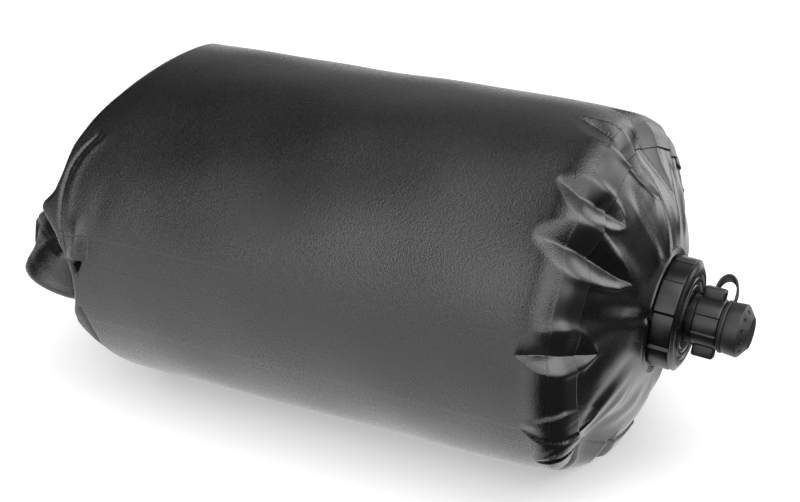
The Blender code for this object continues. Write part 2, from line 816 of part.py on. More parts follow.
def cap_ceiling():
    return cap_front() - CAP_FRONT_WALL


def neck_end():
    return cap_ceiling() - GASKET_THICKNESS - 2 * SEAT_GAP


def thread_ridge(name, root, crest, start, parent):
    # right-hand helix; its bed lies inside the wall that carries it
    bed = root - THREAD_BED if crest > root else root + THREAD_BED
    loops = []
    steps = round(THREAD_TURNS * THREAD_STEPS)
    for i in range(steps + 1):
        turn = i / THREAD_STEPS
        angle = -2 * math.pi * turn
        fade = min(i, steps - i, 2) / 2
        top = root + (crest - root) * fade if fade else root + (crest - root) / 8
        x = start + THREAD_PITCH * turn
        loop = []
        for offset, radius in ((-THREAD_ROOT_WIDTH / 2, bed), (-THREAD_CREST_WIDTH / 2, top),
                               (THREAD_CREST_WIDTH / 2, top), (THREAD_ROOT_WIDTH / 2, bed)):
            loop.append(Vector((x + offset, -radius * math.cos(angle), radius * math.sin(angle))))
        loops.append(loop)
    return swept(name, loops, "valve_plastic", parent)


def spout_flange(parent):
    front = FLANGE_FACE - FABRIC - LAYER_GAP
    back = front - FLANGE_THICKNESS
    plate = FLANGE_RADIUS - FLANGE_THICKNESS / 2
    foot = PANEL_HOLE_RADIUS - LAYER_GAP
    foot_end = cap_rear() - SEAT_GAP
    outline = [(back, NECK_BORE_RADIUS), (back, plate - FABRIC), (back + FABRIC, plate), (front, plate),
               (front, foot), (foot_end, foot), (foot_end, NECK_RADIUS), (neck_end(), NECK_RADIUS),
               (neck_end(), NECK_BORE_RADIUS)]
    body = turned("spout_flange", outline, "valve_plastic", parent)
    start = foot_end + THREAD_ROOT_WIDTH
    ridge = thread_ridge("neck_thread", NECK_RADIUS, NECK_RADIUS + THREAD_DEPTH, start, parent)
    cut(body, ridge, "UNION")
    return body


def flange_gasket(parent):
    start = neck_end() + SEAT_GAP
    end = start + GASKET_THICKNESS
    outline = [(start, GASKET_INNER_RADIUS), (start, GASKET_OUTER_RADIUS), (end, GASKET_OUTER_RADIUS),
               (end, GASKET_INNER_RADIUS)]
    return turned("flange_gasket", outline, "seal_rubber", parent)


def grip_angles():
    # even spacing plus both edges of every raised grip block
    block = 2 * math.pi / CAP_GRIPS
    half = block * CAP_GRIP_SHARE / 2
    step = math.radians(CAP_STEP_ANGLE)
    first = math.radians(CAP_GRIP_ANGLE)
    angles = []
    for k in range(CAP_GRIPS):
        centre = first + k * block
        angles += [centre + share * half for share in (-1, -1 / 2, 0, 1 / 2, 1)]
        angles += [centre + half + step, centre + block / 2, centre + block - half - step]
    return sorted(angles)


def is_raised(angle):
    block = 2 * math.pi / CAP_GRIPS
    half = block * CAP_GRIP_SHARE / 2
    away = (angle - math.radians(CAP_GRIP_ANGLE) + block / 2) % block - block / 2
    return abs(away) < half + math.radians(CAP_STEP_ANGLE) / 2


def screw_cap(parent):
    rear = cap_rear()
    front = cap_front()
    ceiling = cap_ceiling()
    groove = CAP_GROOVE_RADIUS - CAP_GROOVE_WIDTH
    floor = front - CAP_GROOVE_DEPTH
    outline = [(rear, CAP_BORE_RADIUS), (ceiling, CAP_BORE_RADIUS), (ceiling, CAP_HOLE_RADIUS),
               (front, CAP_HOLE_RADIUS), (front, groove), (floor, groove), (floor, CAP_GROOVE_RADIUS),
               (front, CAP_GROOVE_RADIUS), (front, CAP_FRONT_RADIUS - CAP_CHAMFER),
               (front - CAP_CHAMFER, CAP_FRONT_RADIUS), (front - CAP_CHAMFER * 3 / 2, CAP_RADIUS),
               (rear + CAP_CHAMFER / 2, CAP_RADIUS), (rear, CAP_RADIUS - CAP_CHAMFER / 2)]
    grip_points = {10: 0, 11: 0, 12: CAP_CHAMFER / 2}

    def radius_of(index, radius, angle):
        if index in grip_points and not is_raised(angle):
            return CAP_RECESS_RADIUS - grip_points[index]
        return radius

    body = turned_at("screw_cap", outline, grip_angles(), "valve_plastic", parent, radius_of)
    start = cap_rear() - SEAT_GAP + THREAD_ROOT_WIDTH + THREAD_PITCH / 2
    ridge = thread_ridge("cap_thread", CAP_BORE_RADIUS, CAP_BORE_RADIUS - THREAD_DEPTH, start, parent)
    cut(body, ridge, "UNION")
    return body


def seat_start():
    return cap_ceiling() - SEAT_GAP - SEAT_FLANGE_THICKNESS


def seat_end():
    return seat_start() + SEAT_LENGTH


def knob_rear():
    return cap_front() + SEAT_GAP


def ring_places():
    first = knob_rear() + RING_SETBACK
    return first, first + RING_SPACING


def port_cutter(name, start, end, first_angle, parent):
    # two opposite sector openings, kept as one cutter of two blocks
    vertices = []
    faces = []
    sweep = math.radians(PORT_SWEEP)
    for k in range(2):
        middle = math.radians(first_angle) + math.pi * k
        loop = []
        for i in range(PORT_STEPS + 1):
            a = middle - sweep / 2 + sweep * i / PORT_STEPS
            loop.append((PORT_OUTER_RADIUS, a))
        for i in range(PORT_STEPS + 1):
            a = middle + sweep / 2 - sweep * i / PORT_STEPS
            loop.append((PORT_INNER_RADIUS, a))
        rows = []
        for x in (start - CUT_OVERRUN, end + CUT_OVERRUN):
            rows.append(list(range(len(vertices), len(vertices) + len(loop))))
            vertices += [(x, -r * math.cos(a), r * math.sin(a)) for r, a in loop]
        faces += fan_rows(rows, True)
        faces += [tuple(reversed(rows[0])), tuple(rows[1])]
    return make_object(name, vertices, faces, "valve_plastic", parent)


def valve_seat(parent):
    start = seat_start()
    end = seat_end()
    shelf = start + SEAT_FLANGE_THICKNESS
    bore = SEAT_RADIUS - SEAT_WALL
    half = RING_GROOVE_WIDTH / 2
    outline = [(start, bore), (start, SEAT_FLANGE_RADIUS), (shelf, SEAT_FLANGE_RADIUS), (shelf, SEAT_RADIUS)]
    for place in ring_places():
        outline += [(place - half, SEAT_RADIUS), (place - half, SEAT_RADIUS - RING_GROOVE_DEPTH),
                    (place + half, SEAT_RADIUS - RING_GROOVE_DEPTH), (place + half, SEAT_RADIUS)]
    outline += [(end, SEAT_RADIUS), (end, 0), (end - SEAT_END_WALL, 0), (end - SEAT_END_WALL, bore)]
    body = turned_loop("valve_seat", outline, "valve_plastic", parent)
    cut(body, port_cutter("seat_ports", end - SEAT_END_WALL, end, 0, parent))
    return body


def turned_loop(name, outline, finish, parent):
    # a turned outline whose run across the axis has two points on it
    split = [i for i, point in enumerate(outline) if point[1] == 0]
    ordered = outline[split[-1]:] + outline[:split[0] + 1]
    return turned(name, ordered, finish, parent)


def o_ring(name, place, radius, parent):
    outline = []
    for i in range(RING_SIDES):
        a = 2 * math.pi * i / RING_SIDES
        outline.append((place + RING_SECTION * math.cos(a), radius + RING_SECTION * math.sin(a)))
    return turned(name, outline, "seal_rubber", parent, RING_STEPS)


def valve_disc(parent):
    start = seat_end() + SEAT_GAP
    end = start + DISC_THICKNESS
    body = turned("valve_disc", [(start, 0), (start, DISC_RADIUS), (end, DISC_RADIUS), (end, 0)],
                  "valve_plastic", parent)
    cut(body, port_cutter("disc_ports", start, end, PORT_CLOSED_ANGLE, parent))
    return body


def knob_shelf():
    return seat_end() + DISC_THICKNESS + 2 * SEAT_GAP


def knob_front():
    return knob_shelf() + KNOB_FRONT_WALL


def spigot_ring_place():
    return rose_rear() + ROSE_GAP + RING_GROOVE_WIDTH


def wing_knob(parent):
    rear = knob_rear()
    shelf = knob_shelf()
    front = knob_front()
    tip = front + SPIGOT_LENGTH
    place = spigot_ring_place()
    half = RING_GROOVE_WIDTH / 2
    chamfer = KNOB_FLUTE_DEPTH
    outline = [(rear, KNOB_BORE_RADIUS), (shelf, KNOB_BORE_RADIUS), (shelf, KNOB_THROAT_RADIUS),
               (tip, KNOB_THROAT_RADIUS), (tip, SPIGOT_RADIUS), (place + half, SPIGOT_RADIUS),
               (place + half, SPIGOT_RADIUS - RING_GROOVE_DEPTH),
               (place - half, SPIGOT_RADIUS - RING_GROOVE_DEPTH), (place - half, SPIGOT_RADIUS),
               (front, SPIGOT_RADIUS), (front, KNOB_RADIUS - chamfer), (front - chamfer, KNOB_RADIUS),
               (rear + chamfer, KNOB_RADIUS), (rear, KNOB_RADIUS - chamfer)]

    def radius_of(index, radius, angle):
        flute = max(0, math.cos(KNOB_FLUTES * (angle - math.radians(WING_ANGLE)) + math.pi))
        return radius - KNOB_FLUTE_DEPTH * flute ** 2 if index in (11, 12) else radius

    body = turned("wing_knob", outline, "valve_plastic", parent, radius_of=radius_of)
    for k, name in enumerate(("upper_wing", "lower_wing")):
        cut(body, wing(name, WING_ANGLE + 180 * k, parent), "UNION")
    cut(body, tether_stud(parent), "UNION")
    return body


def wing(name, angle, parent):
    start = knob_rear() + WING_SETBACK
    low = (start, -WING_WIDTH / 2, KNOB_BORE_RADIUS + LAYER_GAP * 2)
    high = (start + WING_LENGTH, WING_WIDTH / 2, KNOB_RADIUS + WING_HEIGHT)
    block = box_between(name, low, high, "valve_plastic", parent)
    soften(block, WING_EDGE)
    block.rotation_euler = (math.radians(90 - angle), 0, 0)
    return block


def tether_foot():
    return knob_rear() + TETHER_SETBACK


def tether_outward():
    # turns a solid of revolution so that its axis points outwards at the strap's foot
    lean = Matrix.Rotation(math.radians(90 - TETHER_ANGLE), 4, "X")
    return lean @ Matrix.Rotation(-math.pi / 2, 4, "Y")


def tether_stud(parent):
    # round stud with a head, local Z outwards before it is turned to its angle
    root = KNOB_RADIUS - KNOB_FLUTE_DEPTH * 2
    seat = KNOB_RADIUS + LAYER_GAP + TETHER_THICKNESS
    head = TETHER_WIDTH / 2 - TETHER_THICKNESS
    stem = head - TETHER_THICKNESS / 2
    outline = [(root, 0), (root, stem), (seat + LAYER_GAP, stem), (seat + LAYER_GAP, head),
               (seat + TETHER_THICKNESS, head - TETHER_THICKNESS / 2), (seat + TETHER_THICKNESS, 0)]
    stud = turned("tether_stud", outline, "valve_plastic", parent, FINE_ROUND_STEPS)
    stud.matrix_local = Matrix.Translation((tether_foot(), 0, 0)) @ tether_outward()
    return stud


def rose_rear():
    return knob_front() + LAYER_GAP


def rose_cap(parent):
    rear = rose_rear()
    shoulder = rear + ROSE_GAP
    rim = shoulder + ROSE_LENGTH
    crown = rim + ROSE_CROWN
    lip = ROSE_BORE_RADIUS + ROSE_SLEEVE_WALL + TETHER_RING_LIP
    sleeve = ROSE_BORE_RADIUS + ROSE_SLEEVE_WALL
    chamber = ROSE_RIM_RADIUS - ROSE_FACE_WALL
    ledge = rear + ROSE_SOCKET_DEPTH
    face = rim + ROSE_CROWN * ROSE_FACE_SHARE
    outline = [(crown - ROSE_FACE_WALL, 0), (face - ROSE_FACE_WALL, chamber - ROSE_FACE_WALL / 2),
               (rim - ROSE_EDGE, chamber), (ledge, chamber), (ledge, ROSE_BORE_RADIUS),
               (rear, ROSE_BORE_RADIUS), (rear, lip), (rear + TETHER_RING_LIP, lip),
               (rear + TETHER_RING_LIP, sleeve), (shoulder, sleeve),
               (shoulder, ROSE_REAR_RADIUS - ROSE_EDGE / 2),
               (shoulder + ROSE_EDGE / 2, ROSE_REAR_RADIUS), (rim - ROSE_EDGE, ROSE_RIM_RADIUS),
               (rim + ROSE_EDGE / 2, ROSE_RIM_RADIUS - ROSE_EDGE / 2), (face, ROSE_HOLE_CIRCLE), (crown, 0)]
    body = turned("rose_cap", outline, "shell_plastic", parent)
    cut(body, rose_holes(face, parent))
    return body


def rose_holes(face, parent):
    vertices = []
    faces = []
    start = face - ROSE_FACE_WALL * 2
    end = face + ROSE_CROWN
    for k in range(ROSE_HOLES):
        centre = 2 * math.pi * k / ROSE_HOLES + math.radians(ROSE_HOLE_ANGLE)
        rows = []
        for x in (start, end):
            row = []
            for i in range(ROSE_HOLE_STEPS):
                a = 2 * math.pi * i / ROSE_HOLE_STEPS
                y = -ROSE_HOLE_CIRCLE * math.cos(centre) + ROSE_HOLE_RADIUS * math.cos(a)
                z = ROSE_HOLE_CIRCLE * math.sin(centre) + ROSE_HOLE_RADIUS * math.sin(a)
                row.append(len(vertices))
                vertices.append((x, y, z))
            rows.append(row)
        faces += fan_rows(rows, True)
        faces += [tuple(reversed(rows[0])), tuple(rows[1])]
    return make_object("rose_holes", vertices, faces, "shell_plastic", parent)


def tether_strap(parent):
    # pad on the knob's stud, free loop, and a ring behind the rose's shoulder
    rear = rose_rear() + TETHER_RING_LIP + LAYER_GAP / 2
    front = rose_rear() + ROSE_GAP - LAYER_GAP / 2
    bore = ROSE_BORE_RADIUS + ROSE_SLEEVE_WALL + LAYER_GAP / 2
    outer = ROSE_REAR_RADIUS + TETHER_RING_LIP
    ring = turned("tether_strap", [(rear, bore), (rear, outer), (front, outer), (front, bore)],
                  "seal_rubber", parent)
    seat = KNOB_RADIUS + LAYER_GAP + TETHER_THICKNESS / 2
    foot = tether_foot()
    pad = TETHER_WIDTH / 2
    middle = (rear + front) / 2
    start = Vector((foot + pad, seat))
    end = Vector((middle, (bore + outer) / 2))
    peak = KNOB_RADIUS + TETHER_RISE
    lift = (peak - (seat + end.y) / 8) * 4 / 3
    leave = Vector((start.x + TETHER_BACK_LEAN, lift))
    arrive = Vector((end.x + TETHER_FRONT_LEAN, lift))
    path = [Vector((foot - pad, seat)), Vector((foot, seat))]
    for i in range(TETHER_STEPS + 1):
        t = i / TETHER_STEPS
        s = 1 - t
        path.append(start * s ** 3 + leave * 3 * s * s * t + arrive * 3 * s * t * t + end * t ** 3)
    loops = []
    turn = Matrix.Rotation(math.radians(90 - TETHER_ANGLE), 3, "X")
    for i, place in enumerate(path):
        before = path[max(i - 1, 0)]
        after = path[min(i + 1, len(path) - 1)]
        along = (after - before).normalized()
        across = Vector((-along.y, along.x)) * TETHER_THICKNESS / 2
        loop = []
        for sign, wide in ((1, 1), (1, -1), (-1, -1), (-1, 1)):
            spot = place + across * sign
            narrow = 1 - (1 - TETHER_RING_SHARE) * smooth(2 * i / len(path) - 1)
            loop.append(turn @ Vector((spot.x, wide * TETHER_WIDTH / 2 * narrow, spot.y)))
        loops.append(loop)
    strap = swept("strap_run", loops, "seal_rubber", parent)
    cut(ring, strap, "UNION")
    low = seat - TETHER_THICKNESS
    high = seat + TETHER_THICKNESS
    wide = pad / 2 + LAYER_GAP
    hole_outline = [(low, 0), (low, wide), (high, wide), (high, 0)]
    hole = turned("strap_hole", hole_outline, "seal_rubber", parent, FINE_ROUND_STEPS)
    hole.matrix_local = Matrix.Translation((foot, 0, 0)) @ tether_outward()
    cut(ring, hole)
    return ring


# Whole part

def centre_over_origin(frame):
    # puts the middle of the part's box over the origin
    bpy.context.view_layer.update()
    pieces = [piece for piece in bpy.context.scene.objects if piece.type == "MESH" and not piece.hide_render]
    for axis in (0, 1):
        places = [(piece.matrix_world @ v.co)[axis] for piece in pieces for v in piece.data.vertices]
        frame.location[axis] -= (min(places) + max(places)) / 2


def build():
    clear_scene()
    bag = make_empty("bag_frame", (0, 0, -FLOOR))
    body_panel(bag)
    base_panel(bag)
    rolled_mouth(bag)
    mouth_stiffener(bag)

    stations = roll_path()
    near_end = stations[0][0]
    near_heading = (stations[1][0] - near_end).normalized()
    mouth_y = (SOCKET_LENGTH - PLUG_BASE_LENGTH - BUCKLE_CLEARANCE) / 2
    behind_roll = -TUBE_LENGTH - TAIL_REACH - ROLL_THICKNESS - BUCKLE_THICKNESS / 2 - BUCKLE_ROOM
    place = Vector((min(near_end.x - BUCKLE_BACK, behind_roll), mouth_y, -ROLL_DROP))
    axes = Matrix(((0, 0, 1), (1, 0, 0), (0, 1, 0)))
    buckle = make_empty("buckle_frame", place, axes.to_euler(), bag)
    buckle_socket(buckle)
    buckle_plug(buckle)
    latch_arm("latch_arm_upper", 1, buckle)
    latch_arm("latch_arm_lower", -1, buckle)
    depth = near_end.x - place.x
    socket_half = BUCKLE_THICKNESS / 2
    plug_half = BUCKLE_THICKNESS / 2 - BUCKLE_EDGE / 2
    for name, bar_end, way, bar_half in (
            ("near_webbing_tab", -SOCKET_LENGTH, -1, socket_half),
            ("far_webbing_tab", BUCKLE_CLEARANCE + PLUG_BASE_LENGTH, 1, plug_half)):
        roll_end = Vector((way * abs(near_end.y) - mouth_y, depth))
        heading = Vector((way * abs(near_heading.y), near_heading.x)).normalized()
        webbing_tab(name, bar_end, way, bar_half, roll_end, heading, buckle)

    spout = make_empty("spout_axis", (SPOUT_ROOT, 0, -SPOUT_DROP), (0, math.radians(SPOUT_DROOP), 0), bag)
    spout_flange(spout)
    flange_gasket(spout)
    screw_cap(spout)
    valve_seat(spout)
    first_ring, second_ring = ring_places()
    seat_ring = SEAT_RADIUS - RING_GROOVE_DEPTH + RING_SECTION + RING_FIT
    o_ring("valve_o_ring_rear", first_ring, seat_ring, spout)
    o_ring("valve_o_ring_front", second_ring, seat_ring, spout)
    valve_disc(spout)
    wing_knob(spout)
    spigot_ring = SPIGOT_RADIUS - RING_GROOVE_DEPTH + RING_SECTION + RING_FIT
    o_ring("rose_o_ring", spigot_ring_place(), spigot_ring, spout)
    rose_cap(spout)
    tether_strap(spout)
    centre_over_origin(bag)


build()
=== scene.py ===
import math

import bmesh
import bpy
import numpy as np
from mathutils import Matrix, Vector


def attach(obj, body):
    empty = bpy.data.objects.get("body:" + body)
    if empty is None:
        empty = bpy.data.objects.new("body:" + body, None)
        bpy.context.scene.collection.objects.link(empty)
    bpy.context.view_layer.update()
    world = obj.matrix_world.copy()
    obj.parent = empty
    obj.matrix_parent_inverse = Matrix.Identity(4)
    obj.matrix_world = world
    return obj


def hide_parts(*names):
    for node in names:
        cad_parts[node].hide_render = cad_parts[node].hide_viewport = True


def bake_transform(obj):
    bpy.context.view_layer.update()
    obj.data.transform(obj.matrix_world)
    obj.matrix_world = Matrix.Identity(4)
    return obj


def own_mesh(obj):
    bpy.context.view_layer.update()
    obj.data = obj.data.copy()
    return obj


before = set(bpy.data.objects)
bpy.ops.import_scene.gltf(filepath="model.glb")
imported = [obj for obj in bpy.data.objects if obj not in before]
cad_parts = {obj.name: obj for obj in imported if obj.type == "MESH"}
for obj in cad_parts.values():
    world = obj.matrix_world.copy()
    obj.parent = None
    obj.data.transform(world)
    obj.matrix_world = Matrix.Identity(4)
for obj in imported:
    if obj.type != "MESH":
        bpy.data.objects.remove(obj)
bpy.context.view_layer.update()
scene = bpy.context.scene
print("water carrier: frame loaded")


def smoothStep(share):
    share = np.clip(share, 0, 1)
    return share * share * (3 - 2 * share)


def eased(share):
    return float(smoothStep(share))


def bump(value, middle, width):
    return np.exp(-((value - middle) / width) ** 2)


def wrapped(degrees):
    return (degrees + 180) % 360 - 180


def curveAt(start, leave, arrive, end, t):
    rest = 1 - t
    return start * rest ** 3 + leave * 3 * rest ** 2 * t + arrive * 3 * rest * t ** 2 + end * t ** 3


def linkPiece(name, data):
    piece = bpy.data.objects.new(name, data)
    scene.collection.objects.link(piece)
    return piece


def dressedPiece(name, mesh, material, sharpAngle):
    mesh.shade_smooth()
    if sharpAngle:
        mesh.set_sharp_from_angle(angle=math.radians(sharpAngle))
    mesh.materials.append(material)
    return linkPiece(name, mesh)


def meshPiece(name, points, faces, material, sharpAngle=None):
    mesh = bpy.data.meshes.new(name)
    mesh.from_pydata([tuple(p) for p in points], [], [tuple(f) for f in faces])
    mesh.validate()
    return dressedPiece(name, mesh, material, sharpAngle)


def toolPiece(name, tool, material, sharpAngle):
    mesh = bpy.data.meshes.new(name)
    tool.to_mesh(mesh)
    tool.free()
    return dressedPiece(name, mesh, material, sharpAngle)


def facesOut(piece):
    tool = bmesh.new()
    tool.from_mesh(piece.data)
    bmesh.ops.recalc_face_normals(tool, faces=tool.faces)
    tool.to_mesh(piece.data)
    tool.free()
    return piece


def ringFaces(rows, closed=False):
    # faces between neighbouring rings of points; a ring of one point is a tip
    steps = max(len(row) for row in rows)
    faces = []
    for row, after in zip(rows, rows[1:] + rows[:1] if closed else rows[1:]):
        for i in range(steps):
            j = (i + 1) % steps
            if len(row) == 1:
                faces.append((row[0], after[j], after[i]))
            elif len(after) == 1:
                faces.append((row[i], row[j], after[0]))
            else:
                faces.append((row[i], row[j], after[j], after[i]))
    return faces


def gridFaces(rows, columns):
    # the same for a grid whose points are stored row by row
    return ringFaces([list(range(i * columns, (i + 1) * columns)) for i in range(rows)])


def fillSockets(tree, node, sockets):
    # each socket is joined to an output, or set to a value
    for name, value in sockets.items():
        if isinstance(value, bpy.types.NodeSocket):
            tree.links.new(value, node.inputs[name])
        else:
            node.inputs[name].default_value = value


def addNode(tree, kind, sockets=None, **settings):
    node = tree.nodes.new("ShaderNode" + kind)
    for name, value in settings.items():
        setattr(node, name, value)
    fillSockets(tree, node, sockets or {})
    return node


def newMaterial(name):
    material = bpy.data.materials.new(name)
    material.use_nodes = True
    tree = material.node_tree
    return material, tree, tree.nodes["Principled BSDF"]


def noiseNode(tree, scale, detail=3.0, roughness=0.55, stretch=None):
    place = addNode(tree, "TexCoord").outputs["Object"]
    if stretch:
        place = addNode(tree, "Mapping", {"Vector": place, "Scale": stretch}).outputs["Vector"]
    sockets = {"Vector": place, "Scale": scale, "Detail": detail, "Roughness": roughness}
    return addNode(tree, "TexNoise", sockets).outputs["Fac"]


def rampNode(tree, source, darkEnd, dark, lightEnd, light):
    ramp = addNode(tree, "ValToRGB", {"Fac": source})
    for element, position, colour in zip(ramp.color_ramp.elements, (darkEnd, lightEnd), (dark, light)):
        element.position = position
        element.color = (*colour, 1)
    return ramp.outputs["Color"]


def rangeNode(tree, source, low, high, fromLow=0.3, fromHigh=0.7, blend="LINEAR"):
    sockets = {"Value": source, "From Min": fromLow, "From Max": fromHigh, "To Min": low, "To Max": high}
    return addNode(tree, "MapRange", sockets, interpolation_type=blend).outputs["Result"]


def bumpNode(tree, height, distance, strength, below=None):
    sockets = {"Height": height, "Distance": distance, "Strength": strength}
    if below is not None:
        sockets["Normal"] = below
    return addNode(tree, "Bump", sockets).outputs["Normal"]


def mathNode(tree, operation, *values):
    return addNode(tree, "Math", dict(enumerate(values)), operation=operation).outputs[0]


def vectorNode(tree, operation, *values):
    node = addNode(tree, "VectorMath", dict(enumerate(values)), operation=operation)
    return node.outputs["Value" if operation == "DOT_PRODUCT" else "Vector"]


def mixShader(tree, share, first, second):
    return addNode(tree, "MixShader", {"Fac": share, 1: first, 2: second}).outputs["Shader"]


coating = {
    "dark": (0.0018, 0.0019, 0.0021),
    "light": (0.0080, 0.0081, 0.0085),
    "bandDark": (0.0036, 0.0037, 0.0039),
    "bandLight": (0.0080, 0.0081, 0.0085),
    "cloudScale": 14.0,
    "grainScale": 1300.0,
    "grainShare": 0.62,                      # of the grain in the colour, the rest is cloudy
    "weaveScale": 700.0,
    "creaseScale": 70.0,
    "roughness": (0.23, 0.31),
    "panelRoughness": (0.22, 0.30),
    "bandRoughness": (0.26, 0.36),
    "relief": {"tube": 1.0, "panel": 0.16, "band": 0.22},
    "shine": 0.75,
}


def coatedFabric(name, dark, light, roughness, relief):
    # satin coating over a woven cloth: pebbled grain, threads just showing, cloudy sheen
    material, tree, shader = newMaterial(name)
    cloud = noiseNode(tree, coating["cloudScale"], 4.0)
    grain = noiseNode(tree, coating["grainScale"], 2.0, 0.6)
    place = addNode(tree, "TexCoord").outputs["Object"]
    pores = addNode(tree, "TexVoronoi", {"Vector": place, "Scale": coating["weaveScale"]}).outputs["Distance"]
    mix = addNode(tree, "Mix", {0: coating["grainShare"], 2: cloud, 3: grain}, data_type="FLOAT").outputs[0]
    fine = bumpNode(tree, grain, 0.00030 * relief, 0.9)
    deep = bumpNode(tree, pores, 0.00010 * relief, 0.4, fine)
    creased = noiseNode(tree, coating["creaseScale"], 3.0)
    fillSockets(tree, shader, {
        "Base Color": rampNode(tree, mix, 0.36, dark, 0.66, light),
        "Roughness": rangeNode(tree, mix, roughness[1], roughness[0]),
        "Specular IOR Level": coating["shine"],
        "Sheen Weight": 0.02,
        "Sheen Roughness": 0.45,
        "Normal": bumpNode(tree, creased, 0.0005 * relief, 0.12, deep)})
    return material


def mouldedPlastic(name, dark, light, roughness, texture=1.0):
    # injection-moulded black plastic with a spark-eroded satin skin and lighter rubbed places
    material, tree, shader = newMaterial(name)
    scuff = noiseNode(tree, 240.0, 5.0, 0.7, (1.0, 0.25, 1.0))
    fine = bumpNode(tree, noiseNode(tree, 2600.0, 2.0), 0.00006 * texture, 0.4)
    fillSockets(tree, shader, {
        "Base Color": rampNode(tree, noiseNode(tree, 60.0, 4.0), 0.35, dark, 0.68, light),
        "Roughness": rangeNode(tree, scuff, *roughness),
        "Specular IOR Level": 0.42,
        "Normal": bumpNode(tree, scuff, 0.00005 * texture, 0.35, fine)})
    return material


def softRubber(name, dark, light):
    # dull rubber with a little dust in its pores
    material, tree, shader = newMaterial(name)
    dust = noiseNode(tree, 1800.0, 2.0)
    fillSockets(tree, shader, {
        "Base Color": rampNode(tree, noiseNode(tree, 90.0, 4.0), 0.35, dark, 0.7, light),
        "Roughness": rangeNode(tree, dust, 0.50, 0.66),
        "Specular IOR Level": 0.45,
        "Normal": bumpNode(tree, dust, 0.00005, 0.5)})
    return material


def wovenNylon(name, dark, light, along, across):
    # webbing: ribs across the tape and a finer lengthwise thread
    material, tree, shader = newMaterial(name)
    place = addNode(tree, "TexCoord").outputs["Object"]
    ribs, threads = [
        addNode(tree, "TexWave", {"Vector": place, "Scale": density / math.pi, "Distortion": 0.6, "Detail": 1.0},
                bands_direction=direction).outputs["Fac"]
        for direction, density in ((along, 620.0), (across, 900.0))]
    fuzz = noiseNode(tree, 1500.0, 3.0)
    ribbed = bumpNode(tree, threads, 0.00015, 0.5, bumpNode(tree, ribs, 0.0003, 0.6))
    fillSockets(tree, shader, {
        "Base Color": rampNode(tree, ribs, 0.1, dark, 0.9, light),
        "Roughness": rangeNode(tree, fuzz, 0.62, 0.82),
        "Sheen Weight": 0.25,
        "Sheen Roughness": 0.5,
        "Normal": bumpNode(tree, fuzz, 0.0001, 0.4, ribbed)})
    return material


relief = coating["relief"]
bagSkin = coatedFabric("bagSkin", coating["dark"], coating["light"], coating["roughness"], relief["tube"])
panelSkin = coatedFabric("panelSkin", coating["dark"], coating["light"], coating["panelRoughness"], relief["panel"])
weldedBand = coatedFabric("weldedBand", coating["bandDark"], coating["bandLight"], coating["bandRoughness"],
                          relief["band"])
capPlastic = mouldedPlastic("capPlastic", (0.0030, 0.0030, 0.0032), (0.0060, 0.0060, 0.0064), (0.22, 0.32))
valvePlastic = mouldedPlastic("valvePlastic", (0.0050, 0.0050, 0.0053), (0.0095, 0.0095, 0.0100), (0.28, 0.40))
rosePlastic = mouldedPlastic("rosePlastic", (0.0130, 0.0130, 0.0134), (0.0200, 0.0200, 0.0206), (0.36, 0.48), 1.4)
bucklePlastic = mouldedPlastic("bucklePlastic", (0.0070, 0.0070, 0.0073), (0.0120, 0.0120, 0.0125), (0.32, 0.44))
stripPlastic = mouldedPlastic("stripPlastic", (0.030, 0.030, 0.031), (0.045, 0.045, 0.046), (0.45, 0.6))
sealRubber = softRubber("sealRubber", (0.0070, 0.0070, 0.0070), (0.0130, 0.0130, 0.0130))
strapRubber = softRubber("strapRubber", (0.0080, 0.0080, 0.0083), (0.0150, 0.0150, 0.0155))
webbingNylon = wovenNylon("webbingNylon", (0.0070, 0.0070, 0.0073), (0.0190, 0.0190, 0.0195), "Y", "Z")
print("water carrier: finishes mixed")


bag = {
    "centre": (0.12882, 0.000282, 0.0915),   # where the straight tube ends, on its axis
    "radius": 0.098,
    "floor": -0.0915,
    "tubeLength": 0.247,
    "shoulderRadius": 0.020,
    "shoulderTurn": math.radians(60),
    "domeRadius": 0.200,
    "bandStart": 0.0112,
    "bandEnd": 0.0272,
    "bandRise": 0.0003,
    "cutEdge": 0.0009,                       # the tube's cut edge stands this far off the panel
    "crown": 0.0012,                         # puffed shoulder between the puckers
    # where the shoulder is pulled flat: angle, width, depth, place along it
    "drawnIn": ((103, 16, 0.0100, 0.027), (-60, 19, 0.0122, 0.031)),
    # where the cut edge fades out: angle, width, share
    "edgeFades": ((106, 18, 0.92), (-62, 16, 0.85)),
    "columns": 560,
    "seamEdge": 10.9,                        # lengthwise welds (degrees), and how high they stand
    "seamFoot": 1.55,
    "seamRise": 0.00022,
    "lowSeam": -21.0,
    "lowSeamRise": 0.00012,
}

spout = {
    "origin": Vector((0.15622, 0.000282, 0.0899)),
    "droop": math.radians(3.4),
    "root": 0.0274,
    "drop": 0.0016,
    "face": 0.0105,
    "innerRadius": 0.0205,
    "flangeRadius": 0.0345,
    "flangeRise": 0.00022,
    "blendRadius": 0.060,
    "weldRings": (0.0305, 0.0314, 0.0323, 0.0332),
    "weldRingRise": 0.00034,
    "weldRingWidth": 0.00022,
}

